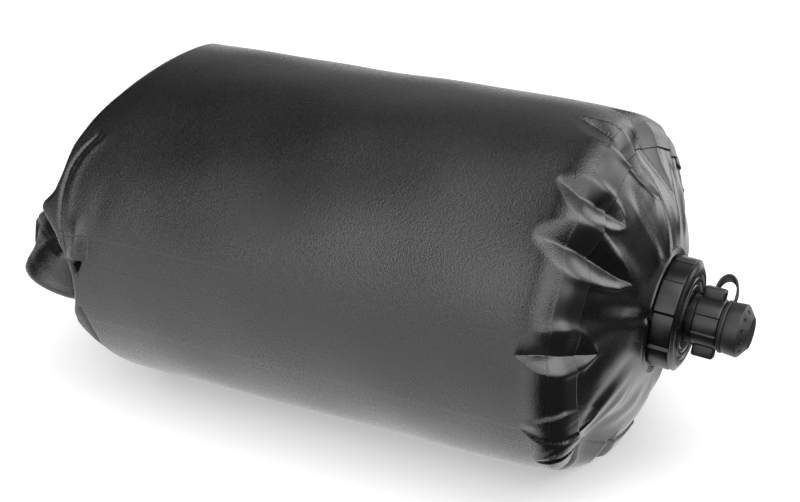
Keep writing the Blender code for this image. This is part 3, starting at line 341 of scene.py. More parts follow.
# each pucker: places along the shoulder (mm), then upper edge, lower edge and crease (degrees), and its depth (mm)
puckers = [
    {"run": (-14.5, -10.5, -1.5, 7.5, 11, 19, 26, 37.5, 49.5, 59),
     "high": (85, 87.6, 87.2, 87.2, 87.4, 88, 88.6, 90.4, 93.6, 97.5),
     "low": (83, 81.5, 76.5, 73.8, 73.8, 74.6, 76.5, 79.8, 87, 96),
     "crease": (84.6, 86.7, 86.0, 84.2, 83.0, 81.0, 81.5, 84, 89, 97),
     "depth": 5.4, "edge": 1.0, "hold": 0.50},
    {"run": (-5, -2.5, 3, 9.5, 15.5, 19, 25.5, 33, 38.5, 42),
     "high": (57, 58.8, 59.5, 59.4, 59.4, 59.5, 60, 59.6, 58.4, 56.2),
     "low": (56.5, 55, 51, 47.6, 47.0, 47.4, 48.8, 50.4, 52.6, 55.6),
     "crease": (56.8, 57, 55.8, 54.2, 53.8, 53.8, 54.4, 55.0, 55.6, 56),
     "depth": 5.2, "edge": 1.15, "hold": 0.42},
    {"run": (-7, -5.5, 2.5, 10, 18.5, 27, 38, 50, 59),
     "high": (40, 42.3, 44.5, 45.6, 46.4, 46.6, 44, 40.2, 35.6),
     "low": (38.5, 36.6, 33.4, 31.2, 30.0, 29.6, 29.4, 30.4, 34.2),
     "crease": (39.3, 39.3, 38.8, 38.2, 37.9, 37.6, 36.4, 35.0, 35.1),
     "depth": 7.6, "edge": 1.2, "hold": 0.50},
    {"run": (-5.5, -3.5, 1.5, 7, 15, 24, 33, 39, 41.5),
     "high": (5, 10, 12.2, 13.3, 14.2, 14, 11, 6.5, 2.6),
     "low": (4.5, 3.6, 2.6, 1.2, -0.2, -0.8, -1.2, 0.8, 2),
     "crease": (4.8, 4.8, 5, 5.2, 5.1, 4.4, 3.2, 2.4, 2.3),
     "depth": 6.6, "edge": 1.5, "hold": 0.62},
    {"run": (-3.5, -1, 3.5, 11, 19, 28, 34.5, 40.5),
     "high": (-19.6, -18.4, -16.8, -15.2, -15.2, -18, -21.5, -27),
     "low": (-20, -22, -24.2, -26.7, -29.2, -31.2, -30.8, -28.2),
     "crease": (-19.9, -21.6, -23.6, -26.2, -28.8, -30.9, -30.5, -28.1),
     "depth": 1.7, "edge": 1.0, "hold": 0.62, "ridge": 2.0, "onset": 0.20},
    {"run": (-1.5, 0.5, 4, 11, 18.5, 26, 31),
     "high": (-37.8, -36, -33.3, -29.8, -30.4, -34, -41),
     "low": (-38.4, -38.6, -39, -40, -41.4, -43.4, -43.6),
     "crease": (-38.3, -38.4, -38.8, -39.7, -41.1, -43.1, -43.5),
     "depth": 1.5, "edge": 1.0, "hold": 0.62, "ridge": 1.7, "onset": 0.20},
]

plainSpread = ((0, 0.04), (0.04, 0.34), (0.14, 0.66), (0.28, 0.9), (0.42, 1), (0.56, 0.94), (0.72, 0.66),
               (0.88, 0.28), (1, 0.03))


def plainPucker(middle, width, start, end, lean, depth):
    # a pucker out of the photograph's sight: same rounded start, pointed tip and sharp crease
    made = {"run": [], "high": [], "low": [], "crease": [], "depth": depth, "edge": 1.2, "hold": 0.62}
    for share, spread in plainSpread:
        centre = middle + lean * (share - 0.4)
        made["run"].append(start + (end - start) * share)
        made["high"].append(centre + width / 2 * spread)
        made["low"].append(centre - width / 2 * spread)
        made["crease"].append(centre + width * 0.06 * math.sin(3 * share + middle))
    return made


puckers += [plainPucker(*values) for values in (
    (110, 12, -8, 56, 9, 4.0), (131, 10, -3, 43, -3, 5.4), (150, 14, -7, 58, -6, 7.6), (171, 11, -4, 47, 4, 6.0),
    (193, 13, -9, 55, 5, 7.2), (214, 10, -3, 42, -4, 5.2), (235, 13, -6, 50, 6, 6.6), (256, 8, 2, 40, 2, 3.4),
    (280, 8, 3, 38, -2, 3.0), (303, 9, -2, 44, 5, 3.0))]

# soft ridges that run from the puckers over the dome to the spout:
# angle at the band, angle at the spout, width, height (mm), start, end
domeFolds = [
    (66, 62, 3.6, 1.5, 30, 84), (45, 34, 3.2, 1.3, 34, 74), (102, 76, 3.4, 1.3, 34, 88), (24, 20, 4.0, 0.7, 30, 70),
    (-9, -2, 4.5, 0.8, 32, 76), (-33, -22, 3.0, 1.3, 26, 74), (-46, -34, 3.0, 1.5, 22, 72),
    (-58, -44, 3.4, 1.1, 24, 74), (122, 112, 3.4, 1.2, 32, 82), (141, 133, 3.2, 1.1, 34, 80),
    (162, 160, 3.6, 1.2, 32, 82), (183, 186, 3.4, 1.0, 34, 80), (204, 206, 3.6, 1.2, 32, 82),
    (226, 222, 3.4, 1.1, 32, 80), (247, 246, 4.0, 1.0, 30, 78), (268, 268, 4.5, 0.8, 30, 76),
    (291, 288, 4.0, 1.0, 30, 78)]


def meridian(distance):
    # place along the axis and off it, for a distance along shoulder and dome
    turn = bag["shoulderTurn"]
    small, large = bag["shoulderRadius"], bag["domeRadius"]
    first = np.clip(distance, 0, small * turn) / small
    second = np.clip(distance - small * turn, 0, None) / large
    x = np.minimum(distance, 0) + small * np.sin(first) + large * (np.sin(turn + second) - math.sin(turn))
    r = bag["radius"] - small * (1 - np.cos(first)) - large * (math.cos(turn) - np.cos(turn + second))
    return x, r


def distanceAtRadius(radius):
    turn = bag["shoulderTurn"]
    arcEnd = bag["radius"] - bag["shoulderRadius"] * (1 - math.cos(turn))
    angle = math.acos(math.cos(turn) - (arcEnd - radius) / bag["domeRadius"])
    return bag["shoulderRadius"] * turn + bag["domeRadius"] * (angle - turn)


def towardsSpout(points, share):
    # turns the dome's middle down with the spout
    tilt = spout["droop"] * share
    pivot = np.array([spout["root"], 0, -spout["drop"]])
    moved = points - pivot
    x = moved[..., 0] * np.cos(tilt) + moved[..., 2] * np.sin(tilt)
    z = -moved[..., 0] * np.sin(tilt) + moved[..., 2] * np.cos(tilt)
    return np.stack([x, moved[..., 1], z], -1) + pivot


def domeGrid(distances, angles):
    s, a = np.meshgrid(distances, angles, indexing="ij")
    x, r = meridian(s)
    points = np.stack([x, -r * np.cos(a), r * np.sin(a)], -1)
    share = smoothStep((spout["blendRadius"] - r) / (spout["blendRadius"] - spout["flangeRadius"]))
    flangeX = float(meridian(np.array(distanceAtRadius(spout["flangeRadius"])))[0])
    points[..., 0] += (spout["root"] + spout["face"] - flangeX) * share
    points[..., 2] -= spout["drop"] * share
    return towardsSpout(points, share)


def flangeGrid(radii, angles):
    r, a = np.meshgrid(radii, angles, indexing="ij")
    face = np.full_like(r, spout["root"] + spout["face"])
    points = np.stack([face, -r * np.cos(a), r * np.sin(a) - spout["drop"]], -1)
    return towardsSpout(points, np.ones_like(r))


tail = {
    "reach": 0.066,
    "sideLag": 0.028,
    "cornerPower": 4,
    "topHandle": 0.014,
    "sideHandle": 0.009,
    "mouthTopHandle": 0.034,
    "mouthSideReach": 0.027,
    "mouthSideSpread": 0.013,
    "mouthWidthShare": 0.85,
    "mouthGap": 0.001,
    "mouthLip": 0.010,
    "mouthDrop": 0.004,
    "mouthTilt": math.radians(4.7),
}

roll = {
    "width": 0.034,
    "thickness": 0.012,
    "length": math.pi * bag["radius"] - 0.036,   # the flat mouth, with both ends tucked in
    "bowRadius": 0.064,
    "bowAngle": math.radians(51.4),
    "turnRadius": 0.014,
    "turnAngle": math.radians(201.4),
    "drop": 0.016,
    "fallShare": 0.80,
    "lean": math.radians(22),
    "leanShares": (0.25, 0.55, 0.85),
    "steps": (40, 44, 20),                       # along the bow, the turn and the arm
    "lap": 0.0011,
    "wrinkle": 0.0004,
    "layers": 10,                                # steps on the wound ends, every second one sunk
    "layerSink": 0.0009,
}


def bowCentreX():
    return roll["bowRadius"] - roll["thickness"] / 2 - bag["tubeLength"] - tail["reach"]


def mouthHeight(y):
    return y * math.tan(tail["mouthTilt"]) - tail["mouthDrop"]


def sideShare(angles):
    # 1 on the tube's two sides, 0 on top and underneath
    return 1 - np.abs(np.sin(angles)) ** tail["cornerPower"]


def tailGrid(shares, angles):
    t, a = np.meshgrid(shares, angles, indexing="ij")
    side = sideShare(a)
    r = bag["radius"]
    start = np.stack([-bag["tubeLength"] - tail["sideLag"] * side, -r * np.cos(a),
                      np.maximum(r * np.sin(a), bag["floor"])], -1)
    bow = roll["bowRadius"] - roll["thickness"] / 2 - tail["mouthGap"]
    y = -bow * math.sin(roll["bowAngle"] * tail["mouthWidthShare"]) * np.cos(a)
    z = mouthHeight(y) + tail["mouthLip"] / 2 * np.sin(a)
    end = np.stack([bowCentreX() - np.sqrt(bow * bow - y * y), y, z], -1)
    handle = tail["topHandle"] * (1 - side) + tail["sideHandle"] * side
    leave = start - np.stack([handle, 0 * a, 0 * a], -1)
    arrive = end + np.stack([tail["mouthSideReach"] * np.abs(np.cos(a)), -tail["mouthSideSpread"] * np.cos(a),
                             tail["mouthTopHandle"] * np.sin(a)], -1)
    return curveAt(start, leave, arrive, end, t[..., None])


def skinColumns():
    # even columns, closer where the side is tucked in, and pairs beside each weld's edge
    even = np.linspace(-180, 180, bag["columns"], endpoint=False)
    even = [a for a in even if not -8.2 < a < 14.1] + list(np.arange(-8, 13.9, 0.28))
    special = []
    for edge, step in ((bag["seamEdge"], 0.25), (bag["seamFoot"], 0.6), (bag["lowSeam"], 0.5)):
        special += [edge - step, edge, edge + step]
    keep = [a for a in even if min(abs(a - s) for s in special) > 0.12]
    return np.radians(np.array(sorted(keep + special)))


def puckerField(run, degrees):
    # height off the smooth shoulder, in metres: dents with a sharp crease and a puffed lip
    perDegree = 1.6                              # mm round the shoulder
    field = np.zeros_like(run)
    lips = np.zeros_like(run)
    along = run * 1000
    for pucker in puckers:
        places = np.array(pucker["run"], float)
        first, last = places[0], places[-1]
        inside = (along > first - 10) & (along < last + 12)
        high, low, crease = [np.interp(along, places, pucker[line]) for line in ("high", "low", "crease")]
        away = wrapped(degrees - crease)
        reach = np.maximum(np.where(away > 0, high - crease, crease - low), 0.15)
        q = np.abs(away) / reach
        share = np.clip((along - first) / (last - first), 0, 1)
        deep = smoothStep(share / pucker.get("onset", 0.30)) ** 0.7
        deep = deep * np.clip((1 - share) / pucker["hold"], 0, 1) ** 0.8
        dent = -pucker["depth"] * deep * np.clip(1 - q, 0, 1) ** pucker["edge"]
        if "ridge" in pucker:
            # a fold that laps over: it stands up along its upper edge and slopes down to the lower one
            down = np.clip((high - (crease + away)) / np.maximum(high - low, 0.15), -9, 1)
            above = bump(np.clip(-down, 0, 9) * (high - low) * perDegree, 0, 1.7)
            dent = dent + pucker["ridge"] * deep * np.where(down >= 0, 1 - down, above)
        field += np.where(inside, dent, 0)
        outer = np.clip(q - 1, 0, None) * reach * perDegree
        before = np.clip(first - along, 0, None)
        beyond = np.clip(along - last, 0, None)
        far = np.sqrt(outer ** 2 + before ** 2 + (beyond * 0.7) ** 2)
        crisp = 0.30 + 0.70 * smoothStep((share - 0.15) / 0.45)
        lip = 0.15 * pucker["depth"] * bump(far, 0, 4.6 - 2.2 * crisp) * np.clip(deep + 0.2, 0, 1) * crisp
        lips = np.maximum(lips, np.where(inside, lip, 0))
    return (field + lips) / 1000


def foldField(run, degrees):
    field = np.zeros_like(run)
    for atBand, atSpout, width, height, start, end in domeFolds:
        share = np.clip((run * 1000 - start) / (end - start), 0, 1)
        away = wrapped(degrees - (atBand + (atSpout - atBand) * share))
        rise = smoothStep(share / 0.3) * smoothStep((1 - share) / 0.35)
        wide = width * (1 + 0.9 * share)
        field += 0.8 * height * rise * bump(away, 0, wide)
        field -= 0.4 * height * rise * bump(away, 2.1 * wide, wide)
    return field / 1000


def crownShare(angle):
    # the shoulder is puffed between the puckers on the near side, and drawn in at the top and below
    near = smoothStep((angle + 48) / 14) * smoothStep((86 - angle) / 12)
    return near + 0.3 * (1 - near)


tailFolds = {
    # how far the back rim stands in (+) or out (-), mm, by angle
    "rim": ((-90, 0), (-70, 3), (-50, 4), (-38, 5.5), (-30, 4), (-24, 2.5), (-19, 4), (-15, 6.8), (-10, 9), (-4, 9.5),
            (0, 8), (3, 6), (7, 2), (11, 0), (16, 0), (20, -1.5), (26, -3.5), (31, -2.7), (39, -2.7), (45, -1.5),
            (60, 0)),
    # a further fold of the closed mouth stands out behind the rim, over the roll: angle, width, reach
    "backFold": (17.5, 5.0, 0.0100),
    # the sharp crease beside the rim, mm behind the tube's end, by angle
    "crease": ((3.4, -269.5), (6, -271.2), (11, -273.0), (16, -274.2), (20.6, -274.6), (25.7, -274.4), (31, -273.2),
               (35, -270.8), (39, -267.0), (43, -262.0)),
    "creaseDepth": 1.1,
    "flap": ((-33, -266.4), (-29.6, -265.8), (-25.7, -265.5), (-19.9, -265.6), (-15.4, -266.7)),
    "flapDepth": 1.4,
    # the open corner where the side is tucked in, and the crease in front of it
    "holeTop": 2.2,
    "holeFoot": -3.9,
    "holeMiddle": -263.0,
    "holeHalf": 3.8,
    "holeDepth": 9.0,
    "pipe": 3.1,
    "sideCrease": ((2, -256.8), (12, -255.0), (30, -250.0)),
}


def byAngle(name, angle):
    return np.interp(angle, *zip(*tailFolds[name]))


def rimShift(points, angle, rows):
    near = smoothStep((-points[..., 0] - 0.228) / 0.040)
    fade = smoothStep((0.75 - rows) / 0.7)[:, None]
    middle, width, reach = tailFolds["backFold"]
    shift = np.zeros_like(points)
    shift[..., 0] = byAngle("rim", angle) / 1000 * near * fade
    shift[..., 0] -= reach * bump(angle, middle, width) * bump(rows, 0.10, 0.07)[:, None]
    return shift


def tailField(points, angle, rows):
    x = points[..., 0] * 1000
    onTube = smoothStep((0.03 - rows) / 0.03)[:, None]
    away = x - byAngle("crease", angle)
    here = smoothStep((angle - 2.6) / 1.6) * smoothStep((47 - angle) / 8)
    field = -tailFolds["creaseDepth"] * np.exp(-np.abs(away) / 0.8) * here
    field += 0.40 * bump(away, 4.6, 3.0) * here + 0.12 * bump(away, -2.0, 1.6) * here
    second = smoothStep((angle - 24) / 8) * smoothStep((46 - angle) / 5)
    field -= 0.6 * np.exp(-np.abs(away - 3.2) / 0.6) * second
    flap = x - byAngle("flap", angle)
    low = smoothStep((angle + 36) / 5) * smoothStep((-14 - angle) / 3)
    field -= tailFolds["flapDepth"] * np.exp(-np.abs(flap) / 0.8) * low
    top, foot = tailFolds["holeTop"], tailFolds["holeFoot"]
    share = np.clip((angle - foot) / (top - foot), 0.02, 1)
    middle = tailFolds["holeMiddle"] - 1.2 * (1 - share)
    inside = 1 - np.abs(x - middle) / (tailFolds["holeHalf"] * share)
    field -= (tailFolds["holeDepth"] * smoothStep(inside / 0.45) * smoothStep((top - angle) / 0.5)
              * smoothStep((angle - foot) / 1.2))
    above = smoothStep((angle - top - 0.1) / 0.7) * smoothStep((20 - angle) / 14)
    wide = 3.9 + 1.5 * smoothStep((8 - angle) / 5)
    field += tailFolds["pipe"] * bump(x, tailFolds["holeMiddle"] + 0.2, wide) * above
    around = smoothStep((top - angle) / 0.4) * smoothStep((angle - foot + 1.5) / 1.5)
    field += 0.7 * np.exp(-np.abs(inside) / 0.25) * around
    side = x - byAngle("sideCrease", angle)
    field -= 0.7 * np.exp(-np.abs(side) / 1.6) * smoothStep((angle - 1.5) / 1.5) * smoothStep((15 - angle) / 7)
    field -= 0.45 * bump(side, 3.0, 6.0) * smoothStep((angle - 2) / 4) * smoothStep((34 - angle) / 14)
    return field * onTube / 1000


def weldField(run, angle):
    # the tube's cut edge, the weld band and the lengthwise welds stand off the skin
    fade = 1 - sum(share * bump(angle, middle, width) for middle, width, share in bag["edgeFades"])
    field = bag["cutEdge"] * smoothStep((run + 0.002) / 0.012) * fade
    field += bag["bandRise"] * smoothStep((run - bag["bandStart"] + 0.0005) / 0.001)
    onSeam = smoothStep((angle - bag["seamEdge"] + 0.25) / 0.5) * smoothStep((bag["seamEdge"] + 18 - angle) / 14)
    field += bag["seamRise"] * onSeam
    field += bag["lowSeamRise"] * smoothStep((angle - bag["lowSeam"] + 0.5) / 1.0) * (angle < bag["seamFoot"])
    return field * (run < bag["bandEnd"] - 0.00002)


def slowWaves(run, angle):
    # the skin of a filled bag is never quite even
    waves = (np.sin(run * 41 + angle * 0.035 + 0.6) * np.sin(angle * 0.071 + 1.1) * 0.0005
             + np.sin(run * 88 - angle * 0.052) * np.sin(angle * 0.123 + run * 20) * 0.00028)
    return waves * smoothStep((0.03 - run) / 0.03)


def skinNormals(points):
    along = np.gradient(points, axis=0)
    around = np.roll(points, -1, axis=1) - np.roll(points, 1, axis=1)
    normal = np.cross(around, along)
    normal /= np.linalg.norm(normal, axis=2, keepdims=True) + 1e-12
    outward = normal * (points - points.mean(axis=1, keepdims=True))
    pastFlange = 80                              # rows whose middle lies well inside them
    return -normal if np.sum(outward, axis=2)[pastFlange:].mean() < 0 else normal


def bagSkinPiece():
    angles = skinColumns()
    flangeStart, edge, length = distanceAtRadius(spout["flangeRadius"]), bag["bandEnd"], bag["tubeLength"]
    rings = np.concatenate([np.linspace(spout["innerRadius"], 0.0296, 10), np.linspace(0.0299, 0.0338, 40), [0.0342]])
    dome = np.concatenate([np.linspace(flangeStart, 0.062, 26)[:-1], np.arange(0.062, edge + 0.0008, -0.0007),
                           [edge + 0.0004, edge + 0.00012, edge - 0.00006, edge - 0.0004]])
    shoulder = np.arange(edge - 0.001, -0.020, -0.0007)
    tube = np.concatenate([np.linspace(-0.021, -0.217, 60), np.linspace(-0.2178, -length, 40)])
    tailShares = np.concatenate([np.linspace(0, 0.2, 30)[1:], np.linspace(0.2, 1, 60)[1:]])

    s, a = np.meshgrid(tube, angles, indexing="ij")
    lag = smoothStep((s / -length - 0.08) / 0.92) * tail["sideLag"] * sideShare(a)
    straight = np.stack([s - lag, -bag["radius"] * np.cos(a), bag["radius"] * np.sin(a)], -1)
    points = np.concatenate([flangeGrid(rings, angles), domeGrid(np.concatenate([dome, shoulder]), angles), straight,
                             tailGrid(tailShares, angles)], 0)
    runs = np.concatenate([flangeStart + (spout["flangeRadius"] - rings), dome, shoulder, tube,
                           -length - 0.08 * tailShares])
    rows = np.concatenate([np.zeros(len(runs) - len(tailShares)), tailShares])
    normal = skinNormals(points)

    degrees = np.degrees(angles)
    run, angle = np.meshgrid(runs, degrees, indexing="ij")
    lift = puckerField(run, angle) + foldField(run, angle)
    lift += bag["crown"] * bump(run, 0.010, 0.012) * crownShare(angle)
    for middle, width, depth, place in bag["drawnIn"]:
        lift -= depth * bump(wrapped(angle - middle), 0, width) * bump(run, place, 0.024)
    points = points + rimShift(points, angle, rows)
    lift += weldField(run, angle)
    ringAt = np.zeros_like(runs)
    ringAt[:len(rings)] = rings
    welded = sum(spout["weldRingRise"] * bump(ringAt, ring, spout["weldRingWidth"]) for ring in spout["weldRings"])
    lift += (welded + spout["flangeRise"] * (ringAt > 0))[:, None]
    lift += slowWaves(run, angle) + tailField(points, angle, rows)
    points = points + normal * lift[..., None]
    points[..., 2] = np.maximum(points[..., 2], bag["floor"])

    count, columns = points.shape[:2]
    faces = gridFaces(count, columns)
    # the flattened mouth is closed between its upper and lower lips
    base = (count - 1) * columns
    upper = [base + i for i in range(columns) if degrees[i] > 0]
    lower = [base + i for i in range(columns) if degrees[i] <= 0][::-1]
    for i in range(min(len(upper), len(lower)) - 1):
        faces.append((upper[i], upper[i + 1], lower[i + 1], lower[i]))
    piece = meshPiece("bagSkin", points.reshape(-1, 3) + np.array(bag["centre"]), faces, bagSkin)
    piece.data.materials.append(panelSkin)
    piece.data.materials.append(weldedBand)
    faceRun = np.append((runs[:-1] + runs[1:]) / 2, -1)[np.arange(len(faces)) // columns]
    kinds = np.select([faceRun > bag["bandEnd"], faceRun > bag["bandStart"]], [1, 2], 0)
    piece.data.polygons.foreach_set("material_index", kinds.astype(np.int32))
    facesOut(piece)
    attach(piece, "bag")
    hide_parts("body_panel", "base_panel")


bagSkinPiece()
print("water carrier: bag skin lofted")


def rollStations(bowSteps, turnSteps, armSteps):
    # stations from the near arm's end to the far arm's end: place and lean
    bow, turn, small = roll["bowAngle"], roll["turnAngle"], roll["turnRadius"]
    arm = roll["length"] / 2 - roll["bowRadius"] * bow - small * turn
    centre = Vector((bowCentreX(), 0, 0))
    half = []
    for i in range(bowSteps):
        a = bow * i / bowSteps
        half.append((centre - roll["bowRadius"] * Vector((math.cos(a), math.sin(a), 0)), 0))
    corner = centre - (roll["bowRadius"] + small) * Vector((math.cos(bow), math.sin(bow), 0))
    for i in range(turnSteps + 1):
        b = bow - turn * i / turnSteps
        half.append((corner + small * Vector((math.cos(b), math.sin(b), 0)), small * turn * i / turnSteps))
    last = bow - turn
    heading = Vector((math.sin(last), -math.cos(last), 0))
    start = half[-1][0]
    for i in range(1, armSteps + 1):
        half.append((start + heading * arm * i / armSteps, small * turn + arm * i / armSteps))
    reach = half[-1][1]
    near = [rollStation(place, along / reach) for place, along in half]
    far = [rollStation(Vector((place.x, -place.y, 0)), along / reach) for place, along in half[1:]]
    return near[::-1] + far


def rollStation(place, share):
    fall = eased(share / roll["fallShare"])
    height = mouthHeight(place.y) * (1 - fall) - roll["drop"] * fall
    first, most, last = roll["leanShares"]
    lean = roll["lean"] * eased((share - first) / (most - first)) * (1 - eased((share - most) / (last - most)))
    return Vector((place.x, place.y, height)), lean


def rollFrames(stations):
    places = [place for place, lean in stations]
    middle = sum(places, Vector()) / len(places)
    frames = []
    for i, (place, lean) in enumerate(stations):
        heading = (places[min(i + 1, len(places) - 1)] - places[max(i - 1, 0)]).normalized()
        up = Vector((0, 0, 1))
        up = (up - heading * up.dot(heading)).normalized()
        out = heading.cross(up).normalized()
        if out.dot(place - middle) < 0:
            out = -out
        wide = (up * math.cos(lean) - out * math.sin(lean)).normalized()
        across = (out * math.cos(lean) + up * math.sin(lean)).normalized()
        frames.append((place, across, wide, heading))
    return frames


def stadiumLoop(width, thickness, steps, flat):
    radius = thickness / 2
    reach = width / 2 - radius
    loop = []
    for sign in (1, -1):
        for i in range(steps + 1):
            a = math.pi * i / steps
            loop.append((sign * radius * math.cos(a), sign * (reach + radius * math.sin(a))))
        for i in range(1, flat):
            loop.append((-sign * radius, sign * (reach - 2 * reach * i / flat)))
    return loop


nearEnd = {
    "from": 0.044,                               # the lean starts this far from the middle, over this length
    "over": 0.022,
    "gapShift": 0.004,                           # out of the bag's way, where the roll would meet it
    "upperShift": 0.007,
    "underRise": 0.0050,
    "wholeShift": 0.003,
    "highShift": 0.005,
    "lowSwing": 0.30,
    "tilt": 0.25,
}


def leanNearEnd(p):
    # the near end of the roll is pulled over: its upper side leans to the bag, its lower side is swung out
    beside = eased((-p.y - nearEnd["from"]) / nearEnd["over"])
    low = eased((0.004 - p.z) / 0.02)
    p.y += beside * nearEnd["gapShift"] * eased((p.x + 0.302) / 0.018) * eased((p.z + 0.034) / 0.022)
    outer = eased((-0.283 - p.x) / 0.030)
    upper = min(max((p.z + 0.019) / 0.022, 0), 1)
    under = min(max((-0.016 - p.z) / 0.020, 0), 1)
    p.x += beside * nearEnd["upperShift"] * upper * outer
    p.z += beside * nearEnd["underRise"] * under * outer
    swing = nearEnd["highShift"] * (1 - low) + low * nearEnd["lowSwing"] * max(p.x + 0.312, 0)
    p.x += nearEnd["wholeShift"] + beside * swing
    p.z -= beside * nearEnd["tilt"] * (min(p.x, -0.270) + 0.3095)


def leanedOnBag(points):
    for p in points:
        leanNearEnd(p)
    return [Vector(bag["centre"]) + p for p in points]


def rollPiece():
    frames = rollFrames(rollStations(*roll["steps"]))
    loop = stadiumLoop(roll["width"], roll["thickness"], 12, 14)
    count, total, half = len(loop), len(frames), roll["thickness"] / 2
    points = []
    for i, (place, across, wide, heading) in enumerate(frames):
        share = i / (total - 1)
        for k, (u, v) in enumerate(loop):
            grow = roll["lap"] * (k / count - 0.75)                   # one turn of cloth, ending in a cut edge
            crease = roll["wrinkle"] * math.sin(share * 96 + 1.7 * math.sin(v * 160)) * math.sin(v * 90 + share * 31)
            bend = 1 - 0.10 * math.sin(math.pi * share) * math.cos(v * 95)
            push = (grow + crease) / math.hypot(u, v)
            points.append(place + across * u * (bend + push) + wide * v * (1 + push))
    faces = gridFaces(total, count)
    # wound ends: the cloth's layers show as steps towards the middle
    for end, sign in ((0, -1), (total - 1, 1)):
        place, across, wide, heading = frames[end]
        ring = [end * count + k for k in range(count)]
        for layer in range(1, roll["layers"]):
            inward = layer * half / roll["layers"]
            sink = heading * sign * (roll["layerSink"] if layer % 2 else 0)
            fresh = list(range(len(points), len(points) + count))
            for u, v in loop:
                narrow = u * max(0.03, 1 - inward / half)
                points.append(place + across * narrow + wide * math.copysign(max(abs(v) - inward, 0), v) - sink)
            faces += ringFaces([ring, fresh])
            ring = fresh
        faces.append(tuple(ring))
    piece = meshPiece("rolledMouth", leanedOnBag(points), faces, bagSkin, 50)
    facesOut(piece)
    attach(piece, "bag")
    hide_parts("rolled_mouth")


strip = {"width": 0.025, "thickness": 0.0020}


def stiffenerPiece():
    # flat strip wound into the mouth's first turn
    frames = rollFrames(rollStations(*roll["steps"]))[1:-1]
    loop = stadiumLoop(strip["width"], strip["thickness"], 6, 4)
    points = [place + across * u + wide * v for place, across, wide, heading in frames for u, v in loop]
    faces = gridFaces(len(frames), len(loop))
    faces.append(tuple(range(len(loop))))
    faces.append(tuple(range(len(points) - len(loop), len(points))))
    piece = meshPiece("mouthStiffener", leanedOnBag(points), faces, stripPlastic, 50)
    facesOut(piece)
    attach(piece, "bag")
    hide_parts("mouth_stiffener")


rollPiece()
stiffenerPiece()
print("water carrier: mouth rolled")


axisX = Vector((math.cos(spout["droop"]), 0, -math.sin(spout["droop"])))
axisY = Vector((0, 1, 0))
axisZ = Vector((math.sin(spout["droop"]), 0, math.cos(spout["droop"])))


def outwardAt(angle):
    return axisZ * math.sin(angle) - axisY * math.cos(angle)


def onSpout(x, radius, angle):
    return spout["origin"] + axisX * x + outwardAt(angle) * radius


def spoutMatrix(angle):
    # local X along the spout, local Z outwards at an angle round it
    outward = outwardAt(angle)
    made = Matrix((axisX, outward.cross(axisX), outward)).transposed().to_4x4()
    made.translation = spout["origin"]
    return made


def roundedOutline(points, roundings, steps=4):
    # (x, r) outline of a closed ring; each corner is rounded by its own radius
    made = []
    for i, size in enumerate(roundings):
        here = Vector(points[i])
        if not size:
            made.append((tuple(here), i))
            continue
        before = Vector(points[i - 1]) - here
        after = Vector(points[(i + 1) % len(points)]) - here
        reach = min(size, min(before.length, after.length) * 0.48)
        start = here + before.normalized() * reach
        end = here + after.normalized() * reach
        for k in range(steps + 1):
            t = k / steps
            made.append((tuple(start * (1 - t) ** 2 + here * 2 * t * (1 - t) + end * t ** 2), i))
    return made


def turnedPiece(name, points, roundings, material, body, node, steps=192, radiusOf=None, closed=True,
                sharpAngle=40):
    vertices, rows = [], []
    for (x, r), index in roundedOutline(points, roundings):
        first = len(vertices)
        if r < 1e-7:
            vertices.append(onSpout(x, 0, 0))
        else:
            for k in range(steps):
                angle = 2 * math.pi * k / steps
                radius = radiusOf(index, r, angle) if radiusOf else r
                vertices.append(onSpout(x, radius, angle))
        rows.append(list(range(first, len(vertices))))
    piece = meshPiece(name, vertices, ringFaces(rows, closed), material, sharpAngle)
    facesOut(piece)
    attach(piece, body)
    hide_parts(node)
    return piece


screwCap = {
    "rear": 0.0115,
    "front": 0.0250,
    "radius": 0.0300,
    "recessRadius": 0.0286,
    "boreRadius": 0.0220,
    "holeRadius": 0.0110,
    "ceiling": 0.0220,
    "gripAngle": 41.5,
    "grips": 5,
    "gripShare": 0.48,
}


def gripShareAt(angle):
    block = 2 * math.pi / screwCap["grips"]
    half = block * screwCap["gripShare"] / 2
    away = abs((angle - math.radians(screwCap["gripAngle"]) + block / 2) % block - block / 2)
    return eased((half - away) / 0.050 + 0.5)


def capPiece():
    rear, front = screwCap["rear"], screwCap["front"]
    ceiling, bore, hole = screwCap["ceiling"], screwCap["boreRadius"], screwCap["holeRadius"]
    full, recess = screwCap["radius"], screwCap["recessRadius"]
    points = [(rear, bore), (ceiling, bore), (ceiling, hole), (front - 0.0004, hole),
              (front - 0.0004, 0.0168), (front - 0.0010, 0.0172), (front - 0.0010, 0.0184), (front - 0.0002, 0.0188),
              (front - 0.0002, 0.0208), (front - 0.0011, 0.0212), (front - 0.0011, 0.0224), (front, 0.0230),
              (front - 0.0004, 0.0262), (front - 0.0018, 0.0284), (front - 0.0025, full),
              (rear + 0.0005, full), (rear, full - 0.0006)]
    roundings = [0.0003, 0, 0, 0.0003, 0.0002, 0.0002, 0.0002, 0.0002, 0.0002, 0.0003, 0.0003, 0.0004,
                 0.0008, 0.0006, 0.0005, 0.0003, 0.0003]
    sideFrom = 14                                # the outline's points from here on are the gripped side

    def radiusOf(index, r, angle):
        if index < sideFrom:
            return r
        return min(r, full) - (full - recess) * (1 - gripShareAt(angle)) * eased((r - 0.0284) / 0.0010 + 0.2)

    turnedPiece("screwCap", points, roundings, capPlastic, "cap", "screw_cap", 720, radiusOf)


capPiece()


